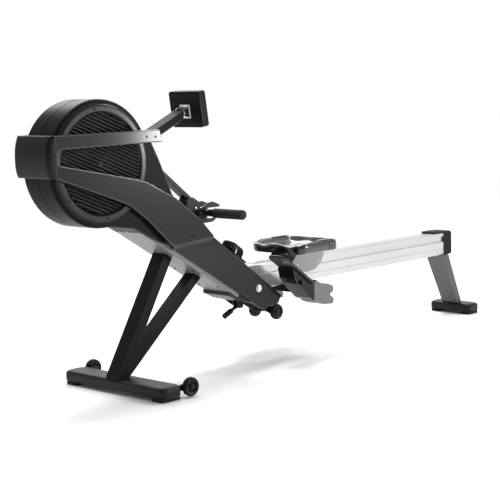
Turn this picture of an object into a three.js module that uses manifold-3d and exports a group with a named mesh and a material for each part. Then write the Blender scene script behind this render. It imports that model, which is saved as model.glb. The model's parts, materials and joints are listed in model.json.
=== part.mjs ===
// Folding air rowing machine. Millimetres, +Z up, X from the fan towards the rower, Y across.
// Left and right are the rower's own, who faces the fan: left is -Y.
import * as THREE from 'three';
import { mergeVertices } from 'three/addons/utils/BufferGeometryUtils.js';
import Module from 'manifold-3d';

const wasm = await Module();
wasm.setup();

// ---------------------------------------------------------------- driving dimensions
const ORIGIN_X = 890;          // middle of the overall length, measured from the front base bar
const GAP = 0.3;               // air between parts that only rest against each other

const BASE = { halfX: 50, halfY: 280, bottom: 14, top: 54 };
const BASE_WHEEL = { x: 92, y: 268, z: 38, r: 35, width: 22, pin: 5 };
const FAN = { x: -117, z: 853, r: 176, axleR: 8 };
const DRUM = { r: 229, half: 81, wall: 4, guardR: 190 };
const COVER = { inner: 81.3, outer: 100 };
const PLATE = { inner: 74, outer: 81 };
const SPOOL = { x: 122, z: 742, r: 36, pulleyR: 62 };
const GUIDE = { x: 392, z: 650, r: 13, pin: 4 };
const HANDLE = { x: 452, z: 626, half: 215, tubeR: 14, gripR: 18.5 };
const PIVOT = { x: 665, z: 307, r: 7 };
const RAIL = { front: 640, rear: 1968, half: 38, bottom: 292, top: 396, wall: 4 };
const FOLD_WHEEL = { x: 787, z: 193, y: 62, r: 32, width: 20, pin: 6 };
const SEAT = { front: 844, rear: 1107, half: 144, bottom: 420, top: 470 };
const SEAT_ROLLER = { z: 367, r: 12.4, front: 935, rear: 1065 };
const FOOT = { inner: 92, outer: 190, toe: [705, 440], heel: [952, 262] };
const REAR = { x0: 2056, x1: 2148, half: 115 };
const CONSOLE = { x: 352, z: 1017, half: 85, tilt: -7.7 };
const SEGMENTS = 28;

const PAINT = { colour: 0x272625, roughness: 0.42, metalness: 0.25 };
const SHELL = { colour: 0x1d1d1e, roughness: 0.38, metalness: 0.05 };
const RUBBER = { colour: 0x141414, roughness: 0.85, metalness: 0.0 };
const SILVER = { colour: 0xd5d7d9, roughness: 0.35, metalness: 0.8 };
const GREY = { colour: 0x9a9b9a, roughness: 0.5, metalness: 0.3 };
const STEEL = { colour: 0xb8babc, roughness: 0.25, metalness: 1.0 };

// ---------------------------------------------------------------- solid helpers
function solid(geometry) {
  const g = geometry.clone();
  g.deleteAttribute('normal');
  g.deleteAttribute('uv');
  const m = mergeVertices(g, 1e-4);
  return new wasm.Manifold(new wasm.Mesh({
    numProp: 3,
    vertProperties: new Float32Array(m.attributes.position.array),
    triVerts: new Uint32Array(m.index.array),
  }));
}

function geometryOf(manifold) {
  const mesh = manifold.getMesh();
  const g = new THREE.BufferGeometry();
  g.setAttribute('position', new THREE.BufferAttribute(new Float32Array(mesh.vertProperties), 3));
  g.setIndex(new THREE.BufferAttribute(new Uint32Array(mesh.triVerts), 1));
  const flat = g.toNonIndexed();
  flat.computeVertexNormals();
  return flat;
}

// The radius of a faceted hole that a pin of this radius turns in with 0.06 mm to spare.
const bore = (pin, segments) => (pin + 0.06) / Math.cos(Math.PI / segments);
const join = (...parts) => parts.reduce((a, b) => a.add(b));
const shapeOf = (points) => new THREE.Shape(points.map(([a, b]) => new THREE.Vector2(a, b)));

// A polygon in X and Z, given depth along Y. A bevel keeps the outline and softens both faces.
function slab(points, y0, y1, bevel = 0) {
  const shape = shapeOf(points);
  const depth = y1 - y0 - 2 * bevel;
  const g = new THREE.ExtrudeGeometry(shape, {
    depth, bevelEnabled: bevel > 0, bevelThickness: bevel, bevelSize: bevel,
    bevelOffset: -bevel, bevelSegments: 1,
  });
  g.rotateX(Math.PI / 2);
  g.translate(0, y1 - bevel, 0);
  return solid(g);
}

// A section in Y and Z, given length along X.
function alongX(points, x0, x1, hole = null) {
  const shape = shapeOf(points);
  if (hole) shape.holes.push(new THREE.Path(hole.map(([a, b]) => new THREE.Vector2(a, b))));
  const g = new THREE.ExtrudeGeometry(shape, { depth: x1 - x0, bevelEnabled: false });
  g.applyMatrix4(new THREE.Matrix4().makeBasis(
    new THREE.Vector3(0, 1, 0), new THREE.Vector3(0, 0, 1), new THREE.Vector3(1, 0, 0)));
  g.translate(x0, 0, 0);
  return solid(g);
}

// An outline in X and Y, given height along Z, with an optional bevel on its edges.
function alongZ(points, z0, z1, bevel = 0, steps = 1) {
  const g = new THREE.ExtrudeGeometry(shapeOf(points), {
    depth: z1 - z0 - 2 * bevel, bevelEnabled: bevel > 0, bevelThickness: bevel,
    bevelSize: bevel, bevelOffset: -bevel, bevelSegments: steps,
  });
  g.translate(0, 0, z0 + bevel);
  return solid(g);
}

function box(x0, x1, y0, y1, z0, z1) {
  const g = new THREE.BoxGeometry(x1 - x0, y1 - y0, z1 - z0);
  g.translate((x0 + x1) / 2, (y0 + y1) / 2, (z0 + z1) / 2);
  return solid(g);
}

function discY(x, z, r, y0, y1, segments = SEGMENTS) {
  const g = new THREE.CylinderGeometry(r, r, y1 - y0, segments);
  g.translate(x, (y0 + y1) / 2, z);
  return solid(g);
}

// A turned part about an axis along Y: profile is [radius, y] pairs, closed on themselves.
function turnedY(x, z, profile, segments = SEGMENTS) {
  const pts = profile.map(([r, y]) => new THREE.Vector2(r, y));
  pts.push(pts[0].clone());
  const g = new THREE.LatheGeometry(pts, segments);
  g.translate(x, 0, z);
  const s = solid(g);
  return s.volume() < 0 ? solid(flipped(g)) : s;
}

function flipped(geometry) {
  const g = geometry.clone();
  const idx = g.index.array;
  for (let i = 0; i < idx.length; i += 3) [idx[i], idx[i + 1]] = [idx[i + 1], idx[i]];
  return g;
}

// A straight bar in the X-Z plane between two points: thickness in the plane, depth along Y.
function barXZ([x0, z0], [x1, z1], thick, y0, y1, bevel = 0) {
  const len = Math.hypot(x1 - x0, z1 - z0);
  const nx = (-(z1 - z0) / len) * thick / 2;
  const nz = ((x1 - x0) / len) * thick / 2;
  return slab([[x0 - nx, z0 - nz], [x1 - nx, z1 - nz], [x1 + nx, z1 + nz], [x0 + nx, z0 + nz]],
    y0, y1, bevel);
}

// The same polygon moved inwards by d, for the inside of a wall.
function inset(points, d) {
  const n = points.length;
  const area = points.reduce((s, [x, y], i) => {
    const [u, v] = points[(i + 1) % n];
    return s + x * v - u * y;
  }, 0);
  const sign = area > 0 ? 1 : -1;
  const lines = points.map(([x, y], i) => {
    const [u, v] = points[(i + 1) % n];
    const len = Math.hypot(u - x, v - y);
    const nx = (-(v - y) / len) * sign, ny = ((u - x) / len) * sign;
    return { x: x + nx * d, y: y + ny * d, dx: (u - x) / len, dy: (v - y) / len };
  });
  return points.map((_, i) => {
    const a = lines[(i + n - 1) % n], b = lines[i];
    const cross = a.dx * b.dy - a.dy * b.dx;
    if (Math.abs(cross) < 1e-6) return [b.x, b.y];
    const t = ((b.x - a.x) * b.dy - (b.y - a.y) * b.dx) / cross;
    return [a.x + a.dx * t, a.y + a.dy * t];
  });
}

function roundedRect(x0, x1, y0, y1, r, steps = 4) {
  const pts = [];
  [[x1 - r, y1 - r, 0], [x0 + r, y1 - r, 90], [x0 + r, y0 + r, 180], [x1 - r, y0 + r, 270]]
    .forEach(([cx, cy, a0]) => {
      for (let i = 0; i <= steps; i++) {
        const a = THREE.MathUtils.degToRad(a0 + (90 * i) / steps);
        pts.push([cx + r * Math.cos(a), cy + r * Math.sin(a)]);
      }
    });
  return pts;
}

const machine = new THREE.Group();
machine.position.x = -ORIGIN_X;

function part(name, manifold, look, parent = machine) {
  const mesh = new THREE.Mesh(geometryOf(manifold), new THREE.MeshStandardMaterial({
    color: look.colour, roughness: look.roughness, metalness: look.metalness }));
  mesh.name = name;
  parent.add(mesh);
  return mesh;
}

// Both sides of the machine: the builder gets -1 for left and +1 for right.
function eachSide(name, look, builder) {
  part(`${name}_left`, builder(-1), look);
  part(`${name}_right`, builder(1), look);
}
const sideSlab = (side, points, near, far, bevel = 0) => (side < 0
  ? slab(points, -far, -near, bevel) : slab(points, near, far, bevel));

// ---------------------------------------------------------------- floor base, legs and beam
const baseSection = [[-50, 20], [-44, 14], [44, 14], [50, 20], [50, 42], [38, 54], [-38, 54], [-50, 42]];
const baseBar = join(
  slab(baseSection.map(([x, z]) => [x, z]), -BASE.halfY, BASE.halfY, 6),
  box(46, 74, -262, -250, 26, 46), box(46, 74, 250, 262, 26, 46),
  barXZ([66, 36], [BASE_WHEEL.x, BASE_WHEEL.z], 20, -262, -250),
  barXZ([66, 36], [BASE_WHEEL.x, BASE_WHEEL.z], 20, 250, 262),
  discY(BASE_WHEEL.x, BASE_WHEEL.z, 10, -262, -250, 20), discY(BASE_WHEEL.x, BASE_WHEEL.z, 10, 250, 262, 20),
  discY(BASE_WHEEL.x, BASE_WHEEL.z, BASE_WHEEL.pin, -288, -255, 20),
  discY(BASE_WHEEL.x, BASE_WHEEL.z, BASE_WHEEL.pin, 255, 288, 20),
).subtract(box(-46, 46, -246, 246, 0, 50));
part('front_base_bar', baseBar, PAINT);

eachSide('base_pad', RUBBER, (s) => {
  const pad = alongZ(roundedRect(-46, 46, 212, 272, 8, 2), 0, 14 - GAP, 2);
  return s < 0 ? pad.mirror([0, 1, 0]) : pad;
});

const wheelProfile = (r, half, hole) => [
  [hole, -half], [r * 0.44, -half], [r * 0.48, -half * 0.4], [r * 0.76, -half * 0.4], [r * 0.8, -half],
  [r, -half * 0.8], [r, half * 0.8], [r * 0.8, half], [r * 0.76, half * 0.4], [r * 0.48, half * 0.4],
  [r * 0.44, half], [hole, half]];
eachSide('base_wheel', RUBBER, (s) => turnedY(BASE_WHEEL.x, BASE_WHEEL.z,
  wheelProfile(BASE_WHEEL.r, 11, bore(BASE_WHEEL.pin, 24))
    .map(([r, y]) => [r, y + s * 274.3]), 24));


const beamUnder = (x) => 625.06 - 0.6202 * x;
const aboveBeam = slab([[-100, beamUnder(-100) - GAP], [620, beamUnder(620) - GAP], [620, 900], [-100, 900]],
  -100, 100);
const belowBase = box(-300, 300, -100, 100, -100, BASE.top + GAP);

// The leg leans towards the rower, and the strut springs from just behind the leg's foot.
const legRear = [[-59.4, -42.4], [296.9, 560.3], [-300, 560.3], [-300, -42.4]];
part('front_leg', barXZ([-56.5, 2.3], [278.7, 568.9], 40, -35, 35)
  .subtract(barXZ([-66.7, -14.9], [288.9, 586.1], 34, -32, 32))
  .subtract(belowBase).subtract(aboveBeam), PAINT);
part('rear_strut', barXZ([-32.3, 34.8], [460, 454.3], 36, -28, 28)
  .subtract(barXZ([-47.5, 21.8], [475.2, 467.3], 30, -25, 25))
  .subtract(belowBase).subtract(aboveBeam).subtract(slab(legRear, -100, 100)), PAINT);

const beamOutline = [[8, beamUnder(8)], [548, beamUnder(548)], [560, beamUnder(548)], [560, 345],
  [420, 452], [236, 585], [60, 650], [20, 650]];
const beamClear = slab(inset(beamOutline, -GAP), -74, 74);
part('main_beam', slab(beamOutline, -73.7, 73.7)
  .subtract(slab(inset(beamOutline, 4), -69.7, 69.7))
  .subtract(box(500, 600, -60, 60, 296, 336)), GREY);

// ---------------------------------------------------------------- strap guide and console arm
const guideBar = barXZ([150, 859.4], [372, 681], 15, -20, 20);
const guideClear = barXZ([140, 867.4], [372, 681], 15.6, -20.3, 20.3);
const guideCheek = [[352, 697], [380, 690], [414, 668], [411, 632], [350, 632], [340, 670]];
part('strap_guide', join(guideBar.subtract(box(352, 420, -17.2, 17.2, 600, 720)),
  slab(guideCheek, -24, -18), slab(guideCheek, 18, 24), slab([[340, 684], [340, 672], [352, 660], [352, 697]], -20, 20))
  .subtract(discY(GUIDE.x, GUIDE.z, bore(GUIDE.pin, 24), -30, 30, 24)), PAINT);
part('guide_roller', turnedY(GUIDE.x, GUIDE.z, [[0.01, -23.8], [GUIDE.pin, -23.8], [GUIDE.pin, -17.5],
  [GUIDE.r + 1.5, -17.5], [GUIDE.r, -15], [GUIDE.r, 15], [GUIDE.r + 1.5, 17.5], [GUIDE.pin, 17.5],
  [GUIDE.pin, 23.8], [0.01, 23.8]], 18), STEEL);

const hookPlate = [[396, 631.6], [396, 604], [420, 588], [470, 590], [488, 600], [482, 606.5], [460, 604.5],
  [444, 606], [433, 613], [430, 626], [433, 638], [444, 645.5], [504, 645.5], [513, 650], [500, 659],
  [471, 669], [440, 664], [416, 650], [416, 631.6]];
part('handle_cradle', join(slab(hookPlate, -32, -26, 1), slab(hookPlate, 26, 32, 1),
  box(397, 404, -32, 32, 606, 631.6)), PAINT);

const armOutline = [[112, 915], [150, 900], [220, 938], [344, 994], [352, 1006], [352, 1028], [335, 1025],
  [199, 963], [120, 934]];
const armClear = slab(inset(armOutline, -GAP), -30.3, 30.3);
part('console_arm', join(slab(armOutline, -30, 30, 3)
  .subtract(box(336, 380, 13.7, 31, 990, 1040)).subtract(box(336, 380, -31, -13.7, 990, 1040)),
  discY(CONSOLE.x, CONSOLE.z, 11, -13.7, 13.7, 18), discY(CONSOLE.x, CONSOLE.z, 4, -21, 21, 16)), PAINT);

// ---------------------------------------------------------------- fan housing and covers
const fairing = [[-100, 624.6], [25, 606], [145, 543], [200, 527], [221, 600], [225, 650], [240, 697],
  [220, 720], [158, 857], [127, 917], [118, 960], [60, 960], [-60, 853]];
const drumOuter = join(discY(FAN.x, FAN.z, DRUM.r, 0.15, 74, 56),
  (() => {
    const g = new THREE.CylinderGeometry(DRUM.r - 8, DRUM.r, 7.5, 56);
    g.translate(FAN.x, 77.25, FAN.z);
    return solid(g);
  })(), slab(fairing, 0.15, DRUM.half));
const drumInner = join(discY(FAN.x, FAN.z, DRUM.r - DRUM.wall, -1, DRUM.half - DRUM.wall, 56),
  slab(inset(fairing, DRUM.wall), -1, DRUM.half - DRUM.wall));
const largest = (m) => m.decompose().reduce((a, b) => (b.volume() > a.volume() ? b : a));
eachSide('fan_housing', SHELL, (s) => {
  const half = drumOuter.subtract(drumInner)
    .subtract(discY(FAN.x, FAN.z, DRUM.guardR, 60, 90, 56));
  const placed = s < 0 ? half.mirror([0, 1, 0]) : half;
  return largest(placed.subtract(beamClear).subtract(armClear).subtract(guideClear));
});

const slotPitch = 30, slotWide = 14;
eachSide('fan_guard', SHELL, (s) => {
  const r = DRUM.guardR - GAP;
  let guard = discY(0, 0, r, 0, 4, 48);
  for (let k = -5; k <= 5; k++) {
    if (k === 0) continue;
    const off = k * slotPitch;
    const reach = Math.sqrt(Math.max(r * r - (Math.abs(off) + slotWide / 2) ** 2, 0)) - 12;
    if (reach < 30) continue;
    guard = guard.subtract(box(-reach, -6, -1, 5, off - slotWide / 2, off + slotWide / 2))
      .subtract(box(6, reach, -1, 5, off - slotWide / 2, off + slotWide / 2));
  }
  const turned = guard.rotate([0, 30, 0]).translate([FAN.x, 76, FAN.z]);
  return s < 0 ? turned.mirror([0, 1, 0]) : turned;
});

const sideCover = [[-335, 963], [142, 963], [149, 956], [163, 917], [-307, 913], [-319, 900], [-322, 880],
  [-316, 866], [-301, 860], [41, 781], [104, 768], [160, 743], [218, 706], [345, 611], [432, 523],
  [212, 509], [73, 637], [-13, 699], [-314, 807], [-335, 815]];
eachSide('side_cover', SHELL, (s) => sideSlab(s, sideCover, COVER.inner, COVER.outer, 4));

const noseSide = [[-335.3, 963], [-349, 963], [-368, 903], [-366, 838], [-358, 815], [-335.3, 815]];
const nosePlan = [[-335.3, -100], [-343, -97], [-356, -84], [-364, -66], [-368, -50], [-368, 50],
  [-364, 66], [-356, 84], [-343, 97], [-335.3, 100]];
part('nose_cover', slab(noseSide, -110, 110).intersect(alongZ(nosePlan, 800, 980))
  .subtract(discY(FAN.x, FAN.z, DRUM.r + GAP, -DRUM.half - GAP, DRUM.half + GAP, 56)), SHELL);

const forkPlate = [[223.3, 508], [223.3, 596], [335, 598], [447, 521], [797, 262], [777, 230],
  [721, 225], [672, 223], [554, 302], [383, 409]];
eachSide('fork_plate', PAINT, (s) => sideSlab(s, forkPlate, PLATE.inner, PLATE.outer)
  .subtract(discY(PIVOT.x, PIVOT.z, PIVOT.r + GAP, -100, 100, 28)));
const deckTop = [[250, 655], [345, 594], [440, 510], [556, 428]];
part('top_deck', slab([...deckTop, ...deckTop.slice().reverse().map(([x, z]) => [x - 2, z - 4])],
  -73.7, 73.7).subtract(guideClear), SHELL);

// ---------------------------------------------------------------- fan and strap drive
part('fan_axle', discY(FAN.x, FAN.z, FAN.axleR, -75.6, 75.6, 20), STEEL);
let fan = join(turnedY(FAN.x, FAN.z, [[bore(FAN.axleR, 20), -66], [25, -66], [25, 66],
  [bore(FAN.axleR, 20), 66]], 20),
discY(FAN.x, FAN.z, 172, -2, 2, 40).subtract(discY(FAN.x, FAN.z, 20, -5, 5, 16)));
for (let i = 0; i < 12; i++) {
  const blade = box(58, FAN.r - 1, -56, 56, -1.2, 1.2).rotate([0, i * 30, 0]);
  fan = fan.add(blade.translate([FAN.x, 0, FAN.z]));
}
part('fan_wheel', fan, GREY);
part('strap_spool', turnedY(SPOOL.x, SPOOL.z, [[0.01, -76.6], [8, -76.6], [8, -19], [46, -19], [46, -16],
  [SPOOL.r, -16], [SPOOL.r, 16], [46, 16], [46, 19], [12, 19], [12, 40], [SPOOL.pulleyR, 40],
  [SPOOL.pulleyR, 52], [8, 52], [8, 76.6], [0.01, 76.6]], 20), GREY);

// ---------------------------------------------------------------- resistance knob
const knob = new THREE.Group();
knob.position.set(524, -42, 454);
knob.rotation.y = THREE.MathUtils.degToRad(35.26);
machine.add(knob);
const ribs = [];
for (let i = 0; i < 36; i++) {
  const a = (i / 36) * Math.PI * 2;
  const r = i % 3 === 2 ? 28.6 : 31;
  ribs.push([r * Math.cos(a), r * Math.sin(a)]);
}
const knobBase = (() => {
  const g = new THREE.CylinderGeometry(18, 21, 20, 32);
  g.rotateX(Math.PI / 2);
  g.translate(0, 0, 16);
  return solid(g);
})();
part('tension_knob', join(knobBase, alongZ(ribs, 25, 52, 3)), SHELL, knob);

// ---------------------------------------------------------------- handle
const handleTube = join(discY(HANDLE.x, HANDLE.z, HANDLE.tubeR, -HANDLE.half, HANDLE.half, 28),
  discY(HANDLE.x, HANDLE.z, 18, -16, 16, 28), box(424, 452, -14, 14, 630, 641.5));
part('handle_bar', handleTube, STEEL);
eachSide('handle_grip', RUBBER, (s) => {
  const grip = turnedY(HANDLE.x, HANDLE.z, [[14.3, 60], [18.5, 61], [18.5, 204], [17, 205],
    [17, 208], [18.5, 209], [18.5, 215], [16, 217.5], [6, 217.5], [6, 215.3], [14.3, 215.3]], 20);
  return s < 0 ? grip.mirror([0, 1, 0]) : grip;
});
part('pull_strap', box(386, 423.7, -12, 12, 634.4, 636.6), RUBBER);

// ---------------------------------------------------------------- console
const console_ = new THREE.Group();
console_.position.set(CONSOLE.x, 0, CONSOLE.z);
console_.rotation.y = THREE.MathUtils.degToRad(CONSOLE.tilt);
machine.add(console_);
const buttonY = [-40, 0, 40], buttonZ = -40;
let consoleBody = alongX(roundedRect(-CONSOLE.half, CONSOLE.half, -62, 77, 10, 2), 25, 57)
  .subtract(box(54.5, 60, -72, 72, -22, 66))
  .subtract(box(20, 31, -60, 60, -40, 55));
for (const y of buttonY) {
  const g = new THREE.CylinderGeometry(7.4, 7.4, 8, 14);
  g.rotateZ(Math.PI / 2);
  g.translate(55, y, buttonZ);
  consoleBody = consoleBody.subtract(solid(g));
}
const earShape = (y0, y1) => join(discY(0, 0, 11, y0, y1, 18), box(0, 32, y0, y1, -9, 9))
  .subtract(discY(0, 0, bore(4, 16), y0 - 1, y1 + 1, 16));
consoleBody = join(consoleBody, earShape(-20, -14), earShape(14, 20));
part('console_housing', consoleBody, SHELL, console_);
part('console_screen', box(54.8, 56.6, -71.7, 71.7, -21.7, 65.7), { ...SHELL, roughness: 0.12 }, console_);
buttonY.forEach((y, i) => {
  const g = new THREE.CylinderGeometry(7, 7, 5.5, 14);
  g.rotateZ(Math.PI / 2);
  g.translate(56.4, y, buttonZ);
  part(`console_button_${i + 1}`, solid(g), RUBBER, console_);
});

// ---------------------------------------------------------------- lower bracket, pivot and wheels
const trayOutline = [[505, 313], [566, 284.6], [640, 262], [692, 250], [692, 238], [640, 250], [560, 270],
  [505, 296]];
const wheelEar = [[650, 258], [700, 258], [803, 203], [800, 181], [774, 181], [690, 232], [650, 246]];
const leverEar = [[608, 268], [646, 257], [640, 226], [614, 226]];
part('fork_bracket', join(slab(trayOutline, -73.7, 73.7), slab(wheelEar, -46, -38), slab(wheelEar, 38, 46),
  slab(leverEar, -15, -9.3), slab(leverEar, 9.3, 15), discY(628, 238, 4, -12, 12, 20),
  discY(FOLD_WHEEL.x, FOLD_WHEEL.z, FOLD_WHEEL.pin, -73.6, 73.6, 24)).subtract(beamClear), PAINT);
eachSide('fold_wheel', RUBBER, (s) => turnedY(FOLD_WHEEL.x, FOLD_WHEEL.z,
  wheelProfile(FOLD_WHEEL.r, FOLD_WHEEL.width / 2, bore(FOLD_WHEEL.pin, 24))
    .map(([r, y]) => [r, y + s * (FOLD_WHEEL.y - 2)]), 24));
part('fold_bolt', join(discY(PIVOT.x, PIVOT.z, PIVOT.r, -88, 88, 28),
  discY(PIVOT.x, PIVOT.z, 11, -88, -81.3, 6), discY(PIVOT.x, PIVOT.z, 11, 81.3, 88, 6)), STEEL);
const leverGrip = (() => {
  const g = new THREE.CylinderGeometry(11, 11, 46, 24);
  g.rotateZ(Math.PI / 2);
  return solid(g).rotate([0, -24, 0]).translate([566, 0, 210.5]);
})();
part('fold_lever', join(discY(628, 238, 9.5, -8.7, 8.7, 24), barXZ([628, 238], [580, 216.6], 9, -6, 6),
  leverGrip).subtract(discY(628, 238, bore(4, 20), -20, 20, 20)), RUBBER);

// ---------------------------------------------------------------- rail, rear leg and foot
const R = RAIL;
const railSection = [[-R.half, R.bottom], [R.half, R.bottom], [R.half, 354], [31, 354], [31, 380],
  [R.half, 380], [R.half, R.top], [-R.half, R.top], [-R.half, 380], [-31, 380], [-31, 354], [-R.half, 354]];
const railHollow = [[-34, 296], [34, 296], [34, 350], [27, 350], [27, 384], [34, 384], [34, 392],
  [-34, 392], [-34, 384], [-27, 384], [-27, 350], [-34, 350]];
part('rail', alongX(railSection, R.front, R.rear, railHollow)
  .subtract(discY(PIVOT.x, PIVOT.z, bore(PIVOT.r, 28), -60, 60, 28)), SILVER);
part('rail_end_cap', join(slab([[R.rear + GAP, 292], [2022, 292], [2030, 300], [2030, 392], [2020, 402],
  [R.rear + GAP, 402]], -40, 40), box(1900, 1975, -38, 38, R.top + GAP, 405)), RUBBER);

const legChannel = [[1942, 291.7], [1998, 291.7], [2098, 50.3], [2066, 50.3]];
part('rear_leg', slab(legChannel, -45, 45)
  .subtract(slab([[1950, 291], [2060, 291], [2120, 56], [2073, 56]], -40, 40)), PAINT);
const rearSection = [[REAR.x0, 18], [REAR.x0 + 6, 12], [REAR.x1 - 6, 12], [REAR.x1, 18], [REAR.x1, 40],
  [REAR.x1 - 10, 50], [REAR.x0 + 10, 50], [REAR.x0, 40]];
part('rear_foot_bar', slab(rearSection, -REAR.half, REAR.half, 5)
  .subtract(box(REAR.x0 + 4, REAR.x1 - 4, -108, 108, 0, 46)), PAINT);
eachSide('rear_pad', RUBBER, (s) => {
  const pad = alongZ(roundedRect(REAR.x0 + 6, REAR.x1 - 6, 66, 110, 8, 2), 0, 12 - GAP, 2);
  return s < 0 ? pad.mirror([0, 1, 0]) : pad;
});

// ---------------------------------------------------------------- footrests
part('footrest_crossbar', join(box(842, 882, -91.7, 91.7, 268, 288), box(846, 878, -30, 30, 287, 291.7))
  .subtract(box(845, 879, -100, 100, 271, 285)), PAINT);
const FOOT_PITCH = THREE.MathUtils.radToDeg(Math.atan2(FOOT.toe[1] - FOOT.heel[1], FOOT.heel[0] - FOOT.toe[0]));
const footFrame = (m) => m.rotate([0, FOOT_PITCH, 0]).translate([FOOT.toe[0], 0, FOOT.toe[1]]);
const mirrorFor = (s, m) => (s < 0 ? m.mirror([0, 1, 0]) : m);
eachSide('foot_plate', SHELL, (s) => mirrorFor(s, join(
  footFrame(join(box(0, 216, FOOT.inner, FOOT.outer, -10, 0), box(0, 4, FOOT.inner, FOOT.outer, -10, 9))),
  slab([[758, 394], [880, 306], [885.5, 296], [885.5, 236], [862, 248], [842, 267], [792, 316], [770, 340]], 92, 178))));
eachSide('heel_cup', GREY, (s) => mirrorFor(s, slab([[887, 303], [887, 233], [915, 219], [950, 211],
  [1003, 207], [1010, 228], [985, 248], [1010, 262], [1003, 284], [968, 296], [930, 302], [900, 320]],
100, 182, 3)));
const archAt = (w, h, drop) => {
  const pts = [];
  for (let i = 0; i <= 12; i++) {
    const a = (i / 12) * Math.PI;
    pts.push([141 + w * Math.cos(a), drop + h * Math.sin(a) ** 0.8]);
  }
  return pts;
};
eachSide('toe_strap', RUBBER, (s) => mirrorFor(s, footFrame(
  alongX(archAt(47, 50, 0.4), 14, 62).subtract(alongX(archAt(43.5, 46.5, -1), 10, 66)
    .add(box(10, 66, 97.5, 184.5, -5, 0.5))))));

// ---------------------------------------------------------------- seat
const S = SEAT;
let pad = alongZ(roundedRect(S.front, S.rear, -S.half, S.half, 42, 5), S.bottom, S.top, 5);
for (const y of [-68, 68]) {
  const g = new THREE.CylinderGeometry(118, 118, 236, 48);
  g.rotateZ(Math.PI / 2);
  g.translate(950, y, S.top + 118 - 16);
  pad = pad.subtract(solid(g));
}
part('seat_pad', pad, SHELL);
const halfMoon = [[892, 419.7], [898, 385], [922, 352], [960, 334], [1004, 329], [1048, 336], [1084, 360],
  [1104, 392], [1106, 419.7]];
const pinY = (x, y0, y1) => discY(x, SEAT_ROLLER.z, 4, y0, y1, 20);
part('seat_carriage', join(box(880, 1090, -46, 46, 412, 419.7), slab(halfMoon, -46, -42),
  slab(halfMoon, 42, 46), pinY(SEAT_ROLLER.front, -44, -31.2), pinY(SEAT_ROLLER.front, 31.2, 44),
  pinY(SEAT_ROLLER.rear, -44, -31.2), pinY(SEAT_ROLLER.rear, 31.2, 44)), GREY);
for (const end of ['front', 'rear']) {
  eachSide(`seat_roller_${end}`, RUBBER, (s) => turnedY(SEAT_ROLLER[end], SEAT_ROLLER.z,
    [[bore(4, 18), 31.5], [11.4, 31.5], [SEAT_ROLLER.r, 32.5], [SEAT_ROLLER.r, 39.5], [11.4, 40.5], [bore(4, 18), 40.5]]
      .map(([r, y]) => [r, y * s]), 18));
}

const scene = new THREE.Group();
scene.add(machine);
export default scene;
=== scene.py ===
"""Folding air rowing machine: a caged fan and its covers at the front, a bright rail with a
rolling seat behind. Places given to at() are in millimetres from the front base bar, and it
turns them into the frame's metres. Turned profiles, bar sections and the seat are in metres.
Left is the rower's left hand, on -Y, facing the fan."""
import json
import math

import bmesh
import bpy
from mathutils import Matrix, Vector


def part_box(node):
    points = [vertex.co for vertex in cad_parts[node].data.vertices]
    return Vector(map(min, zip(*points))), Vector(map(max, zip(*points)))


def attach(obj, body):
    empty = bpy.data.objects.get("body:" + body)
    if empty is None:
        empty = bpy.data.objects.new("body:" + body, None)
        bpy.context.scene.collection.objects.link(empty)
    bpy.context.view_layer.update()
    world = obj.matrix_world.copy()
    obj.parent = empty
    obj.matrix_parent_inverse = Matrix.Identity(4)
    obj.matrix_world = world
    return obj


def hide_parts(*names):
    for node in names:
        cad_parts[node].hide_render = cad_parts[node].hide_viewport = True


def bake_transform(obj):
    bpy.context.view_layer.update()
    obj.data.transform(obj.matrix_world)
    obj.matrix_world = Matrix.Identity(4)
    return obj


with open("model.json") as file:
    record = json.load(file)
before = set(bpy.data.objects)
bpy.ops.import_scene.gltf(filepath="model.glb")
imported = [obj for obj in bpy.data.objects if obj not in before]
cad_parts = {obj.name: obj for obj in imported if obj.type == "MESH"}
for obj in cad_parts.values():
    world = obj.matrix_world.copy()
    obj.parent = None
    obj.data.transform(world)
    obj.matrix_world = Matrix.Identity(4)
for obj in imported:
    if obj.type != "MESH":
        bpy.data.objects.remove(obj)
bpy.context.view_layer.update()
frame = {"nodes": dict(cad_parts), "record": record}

# ---------------- camera
# A long lens at chest height, in front of the fan and off to the rower's left, slightly rolled.
SENSOR, LENS, FAR_CLIP = 36.0, 99.13, 60
SHIFT_X, SHIFT_Y = -0.0204, -0.00248
CAMERA_PLACE = Vector((-4.1456, -3.84189, 1.13423))
TURN, LIFT, ROLL = math.radians(-46.3), math.radians(7.02), math.radians(-1.67)

back = Vector((math.sin(TURN) * math.cos(LIFT), -math.cos(TURN) * math.cos(LIFT), math.sin(LIFT)))
level = Vector((math.cos(TURN), math.sin(TURN), 0))
upright = back.cross(level)
right = level * math.cos(ROLL) + upright * math.sin(ROLL)
up = upright * math.cos(ROLL) - level * math.sin(ROLL)
camera = bpy.data.objects.new("camera", bpy.data.cameras.new("camera"))
bpy.context.scene.collection.objects.link(camera)
camera.data.sensor_width = SENSOR
camera.data.lens = LENS
camera.data.shift_x = SHIFT_X
camera.data.shift_y = SHIFT_Y
camera.data.clip_end = FAR_CLIP
camera.matrix_world = Matrix.Translation(CAMERA_PLACE) @ Matrix((right, up, back)).transposed().to_4x4()
bpy.context.scene.camera = camera

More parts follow.
